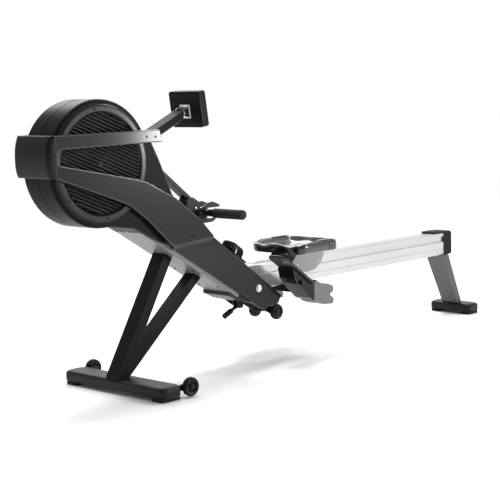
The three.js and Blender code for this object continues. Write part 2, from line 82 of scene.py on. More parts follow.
# ---------------- floor and studio light
# A matt white studio floor that runs out of view, a broad soft box above and behind the machine,
# two smaller ones that catch the edges of its covers, a soft sun, and a pale surround that grows
# brighter away from the camera.
FLOOR_HALF = 30.0
SURROUND_LEVEL, SURROUND_SLOPE = 0.66, (0.40, 0.16, 0.0)
SUN_ENERGY, SUN_SPREAD, SUN_FROM = 1.3, math.radians(14), (0.1, 0.25, 1.0)
floor_mesh = bpy.data.meshes.new("floor")
floor_mesh.from_pydata(
    [(-FLOOR_HALF, -FLOOR_HALF, 0), (FLOOR_HALF, -FLOOR_HALF, 0),
     (FLOOR_HALF, FLOOR_HALF, 0), (-FLOOR_HALF, FLOOR_HALF, 0)], [], [(0, 1, 2, 3)])
floor = bpy.data.objects.new("floor", floor_mesh)
bpy.context.scene.collection.objects.link(floor)
floor_paint = bpy.data.materials.new("studio_floor")
floor_paint.use_nodes = True
floor_shader = floor_paint.node_tree.nodes["Principled BSDF"]
floor_shader.inputs["Base Color"].default_value = (0.95, 0.95, 0.955, 1)
floor_shader.inputs["Roughness"].default_value = 0.7
floor_shader.inputs["Specular IOR Level"].default_value = 0.1
floor_mesh.materials.append(floor_paint)
bpy.context.scene.view_settings.view_transform = "Standard"

surround = bpy.data.worlds.new("surround")
surround.use_nodes = True
sky = surround.node_tree
direction = sky.nodes.new("ShaderNodeTexCoord")
facing = sky.nodes.new("ShaderNodeVectorMath")
facing.operation = "DOT_PRODUCT"
facing.inputs[1].default_value = SURROUND_SLOPE
level_of_light = sky.nodes.new("ShaderNodeMath")
level_of_light.inputs[1].default_value = SURROUND_LEVEL
sky.links.new(direction.outputs["Generated"], facing.inputs[0])
sky.links.new(facing.outputs["Value"], level_of_light.inputs[0])
sky.links.new(level_of_light.outputs["Value"], sky.nodes["Background"].inputs["Strength"])
sky.nodes["Background"].inputs["Color"].default_value = (1, 1, 1, 1)
bpy.context.scene.world = surround


def soft_box(name, place, aim, width, height, power):
    lamp = bpy.data.lights.new(name, "AREA")
    lamp.shape = "RECTANGLE"
    lamp.size, lamp.size_y, lamp.energy = width, height, power
    holder = bpy.data.objects.new(name, lamp)
    bpy.context.scene.collection.objects.link(holder)
    holder.location = place
    holder.rotation_euler = (Vector(aim) - Vector(place)).to_track_quat("-Z", "Y").to_euler()


soft_box("back_box", (1.2, 2.4, 2.8), (-0.1, 0, 0.5), 2.6, 1.0, 60)
soft_box("side_box", (2.35, -3.4, 0.77), (-0.6, 0, 0.9), 0.30, 0.34, 40)
soft_box("edge_box", (2.3, -0.44, 3.6), (-0.5, 0, 0.9), 1.1, 1.1, 48)
overhead = bpy.data.objects.new("overhead", bpy.data.lights.new("overhead", "SUN"))
overhead.data.energy = SUN_ENERGY
overhead.data.angle = SUN_SPREAD
overhead.rotation_euler = Vector(SUN_FROM).to_track_quat("Z", "Y").to_euler()
bpy.context.scene.collection.objects.link(overhead)


# ---------------- finishes
# The machine's coatings and mouldings. Each has the slight clouding of a used surface, a fine
# grain of its own size, and on marked edges and faces a paler, smoother, coated line in flecks:
# partly rubbed wear, partly a painted highlight where those edges catch the light.
class Wire:
    """A socket of a node tree. Plain operators join wires and numbers with Math nodes."""

    def __init__(self, tree, socket=None):
        self.tree = tree
        self.socket = socket

    def node(self, kind, settings=None, values=None, output=0):
        made = self.tree.nodes.new(kind)
        for key, value in (settings or {}).items():
            setattr(made, key, value)
        for key, value in (values or {}).items():
            if isinstance(value, Wire):
                self.tree.links.new(value.socket, made.inputs[key])
            else:
                made.inputs[key].default_value = value
        return Wire(self.tree, made.outputs[output])

    def math(self, operation, other=0.0):
        return self.node("ShaderNodeMath", {"operation": operation}, {0: self, 1: other})

    def __add__(self, other):
        return self.math("ADD", other)

    def __sub__(self, other):
        return self.math("SUBTRACT", other)

    def __mul__(self, other):
        return self.math("MULTIPLY", other)

    def blend(self, low, high):
        """A colour that goes from low to high as this wire goes from 0 to 1."""
        values = {"Factor": self, 6: low, 7: high}
        return self.node("ShaderNodeMix", {"data_type": "RGBA"}, values, 2)


# How much paler the marked faces get (partly rubbed wear, partly painted highlight) and how much coat they
# gain.
FLECKS, RUB_AND_SHEEN_GAIN, RUB_AND_SHEEN_LIFT, RUB_GLOSS, COAT_BLUR = 55.0, 2.5, 0.055, 0.9, 0.12


def grey(value, warmth=0.0):
    return (value * (1 + warmth), value, value * (1 - warmth), 1)


def finish(name, dark, light, roughness, metallic=0.0, warmth=0.0, cloud=4.0, smear=0.1,
           grain=900.0, depth=0.00012, wear=0.5, coat=0.0, specular=0.5):
    """A coated or moulded surface: tones from dark to light, a grain per metre and its depth."""
    material = bpy.data.materials.new(name)
    material.use_nodes = True
    tree = material.node_tree
    shader = tree.nodes["Principled BSDF"]
    start = Wire(tree)
    place = start.node("ShaderNodeTexCoord", output="Object")

    def noise(scale, detail):
        return start.node("ShaderNodeTexNoise", None, {"Vector": place, "Scale": scale, "Detail": detail})

    clouds = noise(cloud, 5.0)
    # Marked faces turn paler in flecks, smoother and more coated: partly rubbed wear, partly a painted
    # highlight.
    rubbed_and_sheen = start.node("ShaderNodeAttribute", {"attribute_name": "wear"}, None, "Fac")
    edge = rubbed_and_sheen * noise(FLECKS, 3.0) * wear
    body = clouds.blend(grey(dark, warmth), grey(light, warmth))
    colour = edge.blend(body, grey(min(1.0, light * RUB_AND_SHEEN_GAIN + RUB_AND_SHEEN_LIFT), warmth))
    bump = start.node("ShaderNodeBump", None,
                      {"Strength": 0.6, "Distance": depth, "Height": noise(grain, 2.0)}, "Normal")
    rough = clouds * smear + (roughness - smear / 2) - edge * 0.1
    polish = rubbed_and_sheen * wear * RUB_GLOSS + coat
    for label, wire in [("Coat Weight", polish), ("Base Color", colour), ("Roughness", rough),
                        ("Normal", bump)]:
        tree.links.new(wire.socket, shader.inputs[label])
    shader.inputs["Metallic"].default_value = metallic
    shader.inputs["Coat Roughness"].default_value = COAT_BLUR
    shader.inputs["Specular IOR Level"].default_value = specular
    return material


leg_paint = finish("leg_paint", 0.055, 0.07, 0.42, warmth=0.02, grain=700, depth=0.00015, wear=0.3)
painted_steel = finish("painted_steel", 0.007, 0.011, 0.38, warmth=0.09, grain=700, depth=0.00015,
                       wear=0.35, specular=0.2)
charcoal_cover = finish("charcoal_cover", 0.006, 0.009, 0.34, warmth=0.06, grain=1600, depth=0.0001,
                        wear=0.9, coat=0.24, specular=0.08)
dark_plastic = finish("dark_plastic", 0.004, 0.006, 0.4, warmth=0.06, grain=1600, depth=0.0001,
                      wear=0.7, specular=0.08)
grille_plastic = finish("grille_plastic", 0.026, 0.034, 0.4, warmth=0.03, grain=1600,
                        depth=0.0001, wear=0.0)
leg_black = finish("leg_black", 0.004, 0.006, 0.4, warmth=0.09, grain=700, depth=0.00015, wear=0.4,
                   specular=0.1)
arm_paint = finish("arm_paint", 0.006, 0.009, 0.55, warmth=0.02, grain=700, depth=0.00015, wear=0.4,
                   specular=0.12)
drum_shell = finish("drum_shell", 0.006, 0.009, 0.30, warmth=0.06, grain=1600, depth=0.0001,
                    wear=0.8, coat=0.35, specular=0.12)
beam_paint = finish("beam_paint", 0.15, 0.19, 0.36, grain=800, depth=0.0001, wear=0.2, specular=0.4)
rubber_black = finish("rubber_black", 0.005, 0.009, 0.66, grain=1200, depth=0.0002, wear=0.3,
                      specular=0.2)
wheel_plastic = finish("wheel_plastic", 0.006, 0.010, 0.38, grain=1000, depth=0.0001, wear=0.4,
                       specular=0.25)
bright_steel = finish("bright_steel", 0.55, 0.68, 0.24, 1.0, grain=500, depth=0.00005, wear=0.1)
fan_metal = finish("fan_metal", 0.012, 0.02, 0.45, 0.3, grain=500, depth=0.00005, wear=0.1)
drive_plastic = finish("drive_plastic", 0.05, 0.07, 0.5, grain=900, wear=0.2)
grey_plate = finish("grey_plate", 0.24, 0.3, 0.42, 0.3, grain=900, depth=0.0001, wear=0.3)
heel_grey = finish("heel_grey", 0.13, 0.17, 0.5, grain=1300, depth=0.00015, wear=0.25)
screen_glass = finish("screen_glass", 0.006, 0.008, 0.08, grain=300, depth=0.00001, wear=0.0, coat=1.0)
button_rubber = finish("button_rubber", 0.08, 0.1, 0.6, grain=1500, wear=0.3)
foam_grip = finish("foam_grip", 0.022, 0.030, 0.78, grain=420, depth=0.0006, wear=0.2, specular=0.25)
anodised_rail = finish("anodised_rail", 0.54, 0.62, 0.3, 0.55, grain=600, depth=0.00003, wear=0.1)
seat_skin = finish("seat_skin", 0.007, 0.011, 0.2, grain=1100, depth=0.00008, wear=0.2, coat=0.85,
                   specular=0.45)


def woven(name, thread=0.0011, dark=0.006, light=0.02):
    """Nylon webbing: ribs along the band crossed by finer weft, both a thread apart, on UV lengths."""
    material = finish(name, dark, light, 0.75, grain=2500, depth=0.0001, wear=0.1, specular=0.2)
    start = Wire(material.node_tree)
    lengths = start.node("ShaderNodeUVMap", {"uv_map": "lengths"})
    across = start.node("ShaderNodeSeparateXYZ", None, {"Vector": lengths}, "X")
    along = start.node("ShaderNodeSeparateXYZ", None, {"Vector": lengths}, "Y")
    ribs = (across * (math.tau / thread)).math("SINE")
    weft = (along * (math.tau / (thread * 1.6))).math("SINE")
    bump = start.node("ShaderNodeBump", None,
                      {"Strength": 0.9, "Distance": 0.0004, "Height": ribs * weft}, "Normal")
    shader = material.node_tree.nodes["Principled BSDF"]
    material.node_tree.links.new(bump.socket, shader.inputs["Normal"])
    return material


webbing = woven("webbing")


# ---------------- carried-over parts
# Pressed, welded and moulded parts keep their shape. Their edges are broken by hand tools or the
# mould, so each copy gets a small round on every sharp edge before it is painted.
SHARP, FOLDED = math.radians(28), math.radians(50)
base_low, base_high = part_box("base_pad_left")
BASE_X = (base_low.x + base_high.x) / 2


def at(x, y, z):
    return Vector((BASE_X + x / 1000, y / 1000, z / 1000))


body_of_node = {node: body for body, nodes in frame["record"]["behaviour"]["bodies"].items()
                for node in nodes}


def make_piece(name, bm, material, body, slot, *nodes, smooth=35):
    """Turns a bmesh into a finished piece on its body, in place of the CAD nodes it stands for."""
    mesh = bpy.data.meshes.new(name)
    bm.to_mesh(mesh)
    bm.free()
    mesh.materials.clear()
    mesh.materials.append(material)
    for face in mesh.polygons:
        face.material_index = 0
        face.use_smooth = True
    mesh.set_sharp_from_angle(angle=math.radians(smooth))
    made = bpy.data.objects.new(name, mesh)
    bpy.context.scene.collection.objects.link(made)
    flat = made.modifiers.new("flat_faces", "WEIGHTED_NORMAL")
    flat.keep_sharp = True
    bpy.context.view_layer.update()
    made.data = bpy.data.meshes.new_from_object(
        made.evaluated_get(bpy.context.evaluated_depsgraph_get()))
    made.data.name = name
    made.modifiers.clear()
    if body:
        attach(made, body)
    if nodes:
        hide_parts(*nodes)
    return made


def round_edges(bm, width, steps=2, sharp=SHARP, shortest=2.2):
    """Rounds every edge that is sharper than sharp and longer than a few widths, and marks the rounds for
    the paler edge colour: partly rubbed wear, partly painted highlight.
    """
    marks = bm.faces.layers.float.get("wear") or bm.faces.layers.float.new("wear")
    edges = [e for e in bm.edges if len(e.link_faces) == 2 and e.calc_face_angle(0) > sharp
             and e.calc_length() > shortest * width]
    made = bmesh.ops.bevel(bm, geom=edges, offset=width, offset_type="OFFSET", segments=steps,
                           profile=0.5, affect="EDGES", clamp_overlap=False)
    for face in made["faces"]:
        face[marks] = 1.0


def merged_copy(node):
    bm = bmesh.new()
    bm.from_mesh(frame["nodes"][node].data)
    bmesh.ops.remove_doubles(bm, verts=bm.verts, dist=1e-5)
    bmesh.ops.dissolve_limit(bm, angle_limit=math.radians(0.8), verts=bm.verts, edges=bm.edges)
    return bm


def softened(node, material, slot, width, steps=2):
    bm = merged_copy(node)
    round_edges(bm, width / 1000, steps)
    make_piece(node + "_body", bm, material, body_of_node[node], slot, node)


def both(stem):
    return [f"{stem}_left", f"{stem}_right"]


SOFTENED = [
    (["front_leg", "rear_strut"], leg_black, "painted_steel", 2.5, 3),
    (["rear_leg"], leg_paint, "painted_steel", 1.2, 2),
    (both("fork_plate"), charcoal_cover, "painted_steel", 1.0, 2),
    (["fork_bracket", "footrest_crossbar", "strap_guide", "handle_cradle"],
     painted_steel, "painted_steel", 0.8, 2),
    (["console_arm"], arm_paint, "painted_steel", 2.0, 2),
    (["top_deck"], charcoal_cover, "charcoal_cover", 1.0, 2),
    (["console_housing"], dark_plastic, "charcoal_cover", 1.5, 2),
    (["rail_end_cap"], rubber_black, "rubber_black", 2.0, 3),
    (["seat_carriage"], grey_plate, "grey_plate", 0.8, 2),
    (["fan_wheel"], fan_metal, "fan_metal", 0.4, 1),
    (["fold_bolt", "guide_roller"], bright_steel, "bright_steel", 0.6, 2),
    (both("seat_roller_front") + both("seat_roller_rear"), wheel_plastic, "wheel_plastic", 0.4, 2),
    (["fold_lever"] + both("base_pad") + both("rear_pad"), rubber_black, "rubber_black", 1.0, 2),
]
for nodes, material, slot, width, steps in SOFTENED:
    for node in nodes:
        softened(node, material, slot, width, steps)

# These nodes stay as they are and only take their finish.
for node, material in [("fan_axle", wheel_plastic), ("strap_spool", drive_plastic),
                       ("console_screen", screen_glass)]:
    mesh = frame["nodes"][node].data
    mesh.materials.clear()
    mesh.materials.append(material)

# ---------------- fan drum
# Two moulded half shells meet on the middle plane. Each has a rounded shoulder, a raised bezel
# ring and a flat fairing that runs down and back to the beam.
LEFT, RIGHT = -1, 1
SIDES = [(LEFT, "left"), (RIGHT, "right")]
drum_low, drum_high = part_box("fan_axle")
FAN_X = (drum_low.x + drum_high.x) / 2
FAN_Z = (drum_low.z + drum_high.z) / 2
FAN_CENTRE = Vector((FAN_X, 0, FAN_Z))
DRUM_R, DRUM_HALF, GRILLE_R = 0.229, 0.081, 0.179


def arc(centre, radius, start, end, steps):
    """Points of a round corner: centre as (across, along), angles in degrees."""
    return [(centre[0] + radius * math.cos(math.radians(start + (end - start) * i / steps)),
             centre[1] + radius * math.sin(math.radians(start + (end - start) * i / steps)))
            for i in range(steps + 1)]


def turned(bm, centre, profile, segments=96, closed=True, side=1):
    """Adds a part turned about an axis along Y: profile holds (radius, distance along Y) pairs."""
    rings = []
    for step in range(segments):
        angle = math.tau * step / segments
        rings.append([bm.verts.new((centre[0] + r * math.cos(angle), centre[1] + side * y,
                                    centre[2] + r * math.sin(angle))) for r, y in profile])
    count = len(profile) if closed else len(profile) - 1
    made = []
    for step in range(segments):
        here, there = rings[step], rings[(step + 1) % segments]
        for i in range(count):
            j = (i + 1) % len(profile)
            made.append(bm.faces.new((here[i], here[j], there[j], there[i])))
    bmesh.ops.recalc_face_normals(bm, faces=made)


def rounded(points, radii, steps=5):
    """An outline whose corners are turned into arcs. radii is one size, or one for each corner."""
    count = len(points)
    radii = [radii] * count if isinstance(radii, (int, float)) else radii
    outline = []
    for i, corner in enumerate(points):
        here = Vector(corner)
        before, after = Vector(points[i - 1]) - here, Vector(points[(i + 1) % count]) - here
        half = before.angle(after) / 2
        reach = min(radii[i] / math.tan(half), before.length * 0.48, after.length * 0.48)
        if radii[i] < 0.01 or reach < 0.01:
            outline.append(tuple(here))
            continue
        radius = reach * math.tan(half)
        middle = here + (before.normalized() + after.normalized()).normalized() * radius / math.sin(half)
        first, last = here + before.normalized() * reach, here + after.normalized() * reach
        start, end = (first - middle), (last - middle)
        swing = start.angle_signed(end)
        for k in range(steps + 1):
            turn = Matrix.Rotation(-swing * k / steps, 2)
            outline.append(tuple(middle + turn @ start))
    return outline


def skin(bm, rings):
    """Joins rings of points, in metres, by faces and caps both ends."""
    loops = [[bm.verts.new(point) for point in ring] for ring in rings]
    made = []
    for here, there in zip(loops, loops[1:]):
        for i in range(len(here)):
            j = (i + 1) % len(here)
            made.append(bm.faces.new((here[i], here[j], there[j], there[i])))
    made += [bm.faces.new(loops[0]), bm.faces.new(loops[-1])]
    bmesh.ops.recalc_face_normals(bm, faces=made)


def slab(bm, outline, near, far):
    """A plate in the X-Z plane between two distances along Y."""
    skin(bm, [[at(x, y, z) for x, z in outline] for y in (near, far)])


SHOULDER = 0.012
shell_profile = (
    [(DRUM_R - 0.0015, 0.0004), (DRUM_R - 0.0012, 0.0012), (DRUM_R, 0.0022)]
    + arc((DRUM_R - SHOULDER, DRUM_HALF - SHOULDER - 0.002), SHOULDER, 0, 90, 8)
    + [(0.186, DRUM_HALF - 0.002), (0.186, DRUM_HALF - 0.007), (DRUM_R - 0.008, DRUM_HALF - 0.014),
       (DRUM_R - 0.004, 0.0004)])
ring_profile = (
    [(GRILLE_R - 0.002, 0.0725), (GRILLE_R - 0.002, 0.0758), (GRILLE_R - 0.0008, 0.0772),
     (GRILLE_R + 0.0070, 0.0838)]
    + arc((GRILLE_R + 0.0085, 0.0823), 0.0022, 130, 90, 3)
    + [(0.203, 0.0846)] + arc((0.203, 0.0748), 0.010, 90, 15, 6) + [(0.213, 0.0725)])
FAIRING = [(-100, 624.6), (25, 606), (145, 543), (200, 527), (221, 600), (225, 650), (240, 697),
           (220, 720), (158, 857), (127, 917), (118, 960)]
FAIRING_ROUNDS = [7, 60, 60, 8, 10, 10, 10, 10, 40, 14, 9]
FAN_MM = (-117, 853)
fairing_outline = rounded(FAIRING, FAIRING_ROUNDS) + arc(FAN_MM, 208, 30, -83, 24)
for side, word in SIDES:
    shell = bmesh.new()
    turned(shell, FAN_CENTRE, shell_profile, 128, side=side)
    make_piece(f"drum_shell_{word}", shell, dark_plastic, "frame", "drum_shell", f"fan_housing_{word}")
    bezel = bmesh.new()
    turned(bezel, FAN_CENTRE, ring_profile, 128, side=side)
    make_piece(f"fan_bezel_{word}", bezel, drum_shell, "frame", "drum_shell")
    cheek = bmesh.new()
    slab(cheek, fairing_outline, side * 0.5, side * 78)
    round_edges(cheek, 0.005, 3, FOLDED, 0)
    make_piece(f"drum_fairing_{word}", cheek, dark_plastic, "frame", "drum_shell")


# ---------------- beam
# The sloping box beam between the fan and the rail, folded from sheet with rounded long corners.
BEAM = [(8, 620.1), (548, 285.2), (560, 285.2), (560, 345), (420, 452), (236, 585), (60, 650),
        (20, 650)]
BEAM_HALF = 73.7
beam = bmesh.new()
slab(beam, BEAM, -BEAM_HALF, BEAM_HALF)
round_edges(beam, 0.004, 3, FOLDED, 0)
make_piece("beam_box", beam, beam_paint, "frame", "beam_paint", "main_beam")

# ---------------- fan grille
# A moulded disc of slanted louvre slats behind the bezel, carried by a hub disc on three spokes.
def nodes_group(name, inputs):
    """A Geometry Nodes tree with named inputs. Returns the tree and a wire for each input."""
    tree = bpy.data.node_groups.new(name, "GeometryNodeTree")
    tree.interface.new_socket("Geometry", in_out="INPUT", socket_type="NodeSocketGeometry")
    for label, kind in inputs:
        tree.interface.new_socket(label, in_out="INPUT", socket_type=f"NodeSocket{kind}")
    tree.interface.new_socket("Geometry", in_out="OUTPUT", socket_type="NodeSocketGeometry")
    source = tree.nodes.new("NodeGroupInput")
    return tree, {socket.name: Wire(tree, socket) for socket in source.outputs if socket.name}


def nodes_end(tree, geometry, material):
    """Ends a tree in Realize Instances and Set Material."""
    real = geometry.node("GeometryNodeRealizeInstances", None, {"Geometry": geometry})
    dressed = real.node("GeometryNodeSetMaterial", None, {"Geometry": real, "Material": material})
    tree.links.new(dressed.socket, tree.nodes.new("NodeGroupOutput").inputs["Geometry"])


def grown(name, tree, start_mesh, values, body, smooth=35):
    """Runs a tree on a mesh with its inputs set and keeps the result as a plain mesh."""
    holder = bpy.data.objects.new(name + "_seed", start_mesh)
    bpy.context.scene.collection.objects.link(holder)
    modifier = holder.modifiers.new("grow", "NODES")
    modifier.node_group = tree
    for item in tree.interface.items_tree:
        if item.in_out == "INPUT" and item.name in values:
            modifier[item.identifier] = values[item.name]
    bpy.context.view_layer.update()
    mesh = bpy.data.meshes.new_from_object(holder.evaluated_get(bpy.context.evaluated_depsgraph_get()))
    bpy.data.objects.remove(holder)
    mesh.name = name
    mesh.polygons.foreach_set("use_smooth", [True] * len(mesh.polygons))
    mesh.set_sharp_from_angle(angle=math.radians(smooth))
    made = bpy.data.objects.new(name, mesh)
    bpy.context.scene.collection.objects.link(made)
    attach(made, body)
    return made


def slat_tree():
    """Slats across a disc: each is as long as the chord where it lies."""
    tree, given = nodes_group("slats", [("Count", "Int"), ("Pitch", "Float"), ("Radius", "Float"),
                                        ("Slat", "Object"), ("Material", "Material")])
    wire = given["Count"]
    step = wire.node("ShaderNodeCombineXYZ", None, {"Z": given["Pitch"]})
    first = wire.node("ShaderNodeCombineXYZ", None, {"Z": (wire - 1.0) * given["Pitch"] * -0.5})
    line = wire.node("GeometryNodeMeshLine", None,
                     {"Count": given["Count"], "Start Location": first, "Offset": step})
    height = wire.node("ShaderNodeSeparateXYZ", None,
                       {"Vector": wire.node("GeometryNodeInputPosition")}, "Z")
    chord = (given["Radius"] * given["Radius"] - height * height).math("SQRT")
    size = wire.node("ShaderNodeCombineXYZ", None, {"X": chord, "Y": 1.0, "Z": 1.0})
    shape = wire.node("GeometryNodeObjectInfo", None, {"Object": given["Slat"]}, "Geometry")
    placed = wire.node("GeometryNodeInstanceOnPoints", None,
                       {"Points": line, "Instance": shape, "Scale": size})
    nodes_end(tree, placed, given["Material"])
    return tree


def template(name, bm):
    """A bmesh as an object, for a tree to repeat or for modifiers to work on."""
    mesh = bpy.data.meshes.new(name)
    bm.to_mesh(mesh)
    bm.free()
    holder = bpy.data.objects.new(name, mesh)
    bpy.context.scene.collection.objects.link(holder)
    return holder


def closed_bar(bm, section, x0, x1):
    """A bar or plate along X, in metres, with the section given in Y and Z."""
    skin(bm, [[(x, y, z) for y, z in section] for x in (x0, x1)])


def oblong(y0, y1, z0, z1):
    return [(y0, z0), (y1, z0), (y1, z1), (y0, z1)]


def add_to(bm, other, place=Matrix()):
    """Adds another shape to bm in its place and frees it."""
    spare = bpy.data.meshes.new("spare")
    other.transform(place)
    other.to_mesh(spare)
    other.free()
    bm.from_mesh(spare)
    bpy.data.meshes.remove(spare)


SLAT_COUNT, SLAT_PITCH, SLAT_TILT, SLAT_OUT = 27, 0.0128, math.radians(22), 0.0755
SLAT_SECTION = [(-0.005, 0.0016), (0.0030, -0.0032), (0.0046, -0.0030), (0.0046, 0.0004),
                (-0.0040, 0.0042)]
HUB = [(0.0, 0.0700), (0.020, 0.0700), (0.024, 0.0685), (0.024, 0.0650), (0.0, 0.0650)]
slats = slat_tree()
for side, word in SIDES:
    bar = bmesh.new()
    closed_bar(bar, [(y * -side, z) for y, z in SLAT_SECTION], -1.0, 1.0)
    slat = template("slat", bar)
    grille = grown(f"fan_grille_{word}", slats, bpy.data.meshes.new("empty"),
                   {"Count": SLAT_COUNT, "Pitch": SLAT_PITCH, "Radius": GRILLE_R, "Slat": slat,
                    "Material": grille_plastic}, "frame")
    grille.data.transform(Matrix.Translation(FAN_CENTRE + Vector((0, side * SLAT_OUT, 0)))
                          @ Matrix.Rotation(SLAT_TILT, 4, "Y"))
    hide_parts(f"fan_guard_{word}")
    bpy.data.objects.remove(slat)
    spider = bmesh.new()
    turned(spider, FAN_CENTRE, HUB, 48, closed=False, side=side)
    for spoke in range(3):
        turn = Matrix.Rotation(SLAT_TILT + math.radians(90 + 120 * spoke), 4, "Y")
        arm = bmesh.new()
        closed_bar(arm, oblong(side * 0.0655, side * 0.0695, -0.004, 0.004), 0.018, GRILLE_R + 0.004)
        add_to(spider, arm, Matrix.Translation(FAN_CENTRE) @ turn)
    bmesh.ops.remove_doubles(spider, verts=spider.verts, dist=1e-6)
    make_piece(f"grille_spider_{word}", spider, dark_plastic, "frame", "drum_shell")

# ---------------- side covers and screws
# A forked moulding on each side of the drum. Its lower end slopes down to the steel plate below.
COVER_IN, COVER_OUT = 81.3, 100.0
COVER = [(-335, 963), (149, 963), (163, 917), (-320, 913), (-322, 860), (70, 781), (218, 706),
         (345, 611), (432, 523), (212, 509), (73, 637), (-13, 699), (-314, 807), (-335, 815)]
COVER_ROUNDS = [7, 8, 7, 13, 12, 260, 60, 120, 7, 7, 120, 160, 16, 7]
END_SLOPE, END_HEIGHT, COVER_ROUND = Vector((-0.0152, 0, 0.0146)), 0.5385, 0.0045
for side, word in SIDES:
    cover = bmesh.new()
    slab(cover, rounded(COVER, COVER_ROUNDS, 8), side * COVER_IN, side * COVER_OUT)
    outer = at(0, side * COVER_OUT, 0).y
    for corner in cover.verts:
        if abs(corner.co.y - outer) < 1e-6 and corner.co.z < END_HEIGHT:
            corner.co += END_SLOPE
    rims = [e for e in cover.edges if all(abs(v.co.y - outer) < 1e-6 for v in e.verts)
            and e.calc_face_angle(0) > math.radians(20)]
    # The rounded outer rims are marked for the paler edge colour: partly rubbed wear, partly painted
    # highlight.
    marks = cover.faces.layers.float.new("wear")
    for face in bmesh.ops.bevel(cover, geom=rims, offset=COVER_ROUND, offset_type="OFFSET", segments=4,
                                profile=0.5, affect="EDGES", clamp_overlap=False)["faces"]:
        face[marks] = 1.0
    # The sloping lower end is marked too: its paler tone there is a painted reflection of the floor.
    for face in cover.faces:
        if face.normal.z < -0.4 and abs(face.normal.y) > 0.3 and face.calc_area() > 0.002:
            face[marks] = 1.0
    make_piece(f"side_cover_shell_{word}", cover, charcoal_cover, "frame", "charcoal_cover",
               f"side_cover_{word}", smooth=30)


# The nose closes the front of both covers: a tall face with tightly rounded upright corners.
NOSE_TOP, NOSE_LOW, NOSE_ROWS = 963.0, 815.0, 16
NOSE_CORNER, NOSE_HALF, NOSE_BACK, NOSE_FRONT = 17.0, 99.8, -335.6, -367.6
rings = []
for row in range(NOSE_ROWS + 1):
    turn = math.pi * row / NOSE_ROWS
    lift = math.copysign(abs(math.cos(turn)) ** 0.55, math.cos(turn))
    z = (NOSE_TOP + NOSE_LOW) / 2 + (NOSE_TOP - NOSE_LOW) / 2 * lift
    front = NOSE_FRONT + 16 * (abs(z - 880) / 83) ** 2.4 + 6 * (1 - math.sin(turn) ** 0.5)
    corner = min(NOSE_CORNER, NOSE_BACK - front - 1)
    plan = [(NOSE_BACK, -NOSE_HALF)]
    for angle in [math.radians(a) for a in range(0, 91, 10)]:
        plan.append((front + corner * (1 - math.sin(angle)), -NOSE_HALF + corner * (1 - math.cos(angle))))
    plan += [(x, -y) for x, y in reversed(plan)]
    rings.append([at(x, y, z) for x, y in plan])
nose = bmesh.new()
skin(nose, rings)
make_piece("nose_shell", nose, charcoal_cover, "frame", "charcoal_cover", "nose_cover", smooth=40)


def scatter_tree():
    """One copy of a shape on every point, with its Z axis along the point's facing."""
    tree, given = nodes_group("fasteners", [("Shape", "Object"), ("Material", "Material")])
    wire = given["Geometry"]
    facing = wire.node("GeometryNodeInputNamedAttribute", {"data_type": "FLOAT_VECTOR"},
                       {"Name": "facing"}, "Attribute")
    turn = wire.node("FunctionNodeAlignRotationToVector", {"axis": "Z"}, {"Vector": facing})
    shape = wire.node("GeometryNodeObjectInfo", None, {"Object": given["Shape"]}, "Geometry")
    points = wire.node("GeometryNodeMeshToPoints", None, {"Mesh": wire})
    placed = wire.node("GeometryNodeInstanceOnPoints", None,
                       {"Points": points, "Instance": shape, "Rotation": turn})
    nodes_end(tree, placed, given["Material"])
    return tree


fasteners = scatter_tree()


def screw_head(radius, height, socket=0.5, sides=20):
    """A domed screw head with a six-sided socket, standing on Z = 0."""
    turns = [math.tau * k / sides for k in range(sides)]
    profile = [(radius, -height * 0.6), (radius, height * 0.4), (radius * 0.9, height * 0.8),
               (radius * socket * 1.25, height)]
    rings = [[(r * math.cos(t), r * math.sin(t), z) for t in turns] for r, z in profile]
    for depth in (height, height * 0.1):
        hexagon = []
        for turn in turns:
            corner = (turn + math.pi / 6) % (math.pi / 3) - math.pi / 6
            reach = radius * socket * 0.95 / math.cos(corner)
            hexagon.append((reach * math.cos(turn), reach * math.sin(turn), depth))
        rings.append(hexagon)
    head = bmesh.new()
    skin(head, rings)
    return head


def fasten(name, shape, places, material, body):
    """A set of like fasteners: places holds (point, the way its head faces)."""
    seed = bpy.data.meshes.new(name + "_points")
    seed.from_pydata([tuple(point) for point, _ in places], [], [])
    facing = seed.attributes.new("facing", "FLOAT_VECTOR", "POINT")
    facing.data.foreach_set("vector", [c for _, way in places for c in Vector(way)])
    head = template(name + "_shape", shape)
    made = grown(name, fasteners, seed, {"Shape": head, "Material": material}, body)
    bpy.data.objects.remove(head)
    return made


COVER_SCREWS = [(83, 100, 939), (126, 100, 937), (293, 100, 556), (-343, 99.8, 893)]
BEZEL_SCREW_R, BEZEL_FACE, BEZEL_TURNS = 0.196, 0.0848, (98, 218, 274, 338)
for side, word in SIDES:
    spots = [(at(x, side * y, z), (0, side, 0)) for x, y, z in COVER_SCREWS]
    fasten(f"cover_screws_{word}", screw_head(0.0045, 0.001, 0.62), spots, rubber_black, "frame")
    spots = []
    for turn in BEZEL_TURNS:
        out = Matrix.Rotation(math.radians(-turn), 3, "Y") @ Vector((BEZEL_SCREW_R, 0, 0))
        spots.append((FAN_CENTRE + out + Vector((0, side * BEZEL_FACE, 0)), (0, side, 0)))
    fasten(f"bezel_screws_{word}", screw_head(0.0045, 0.001, 0.62), spots, rubber_black, "frame")

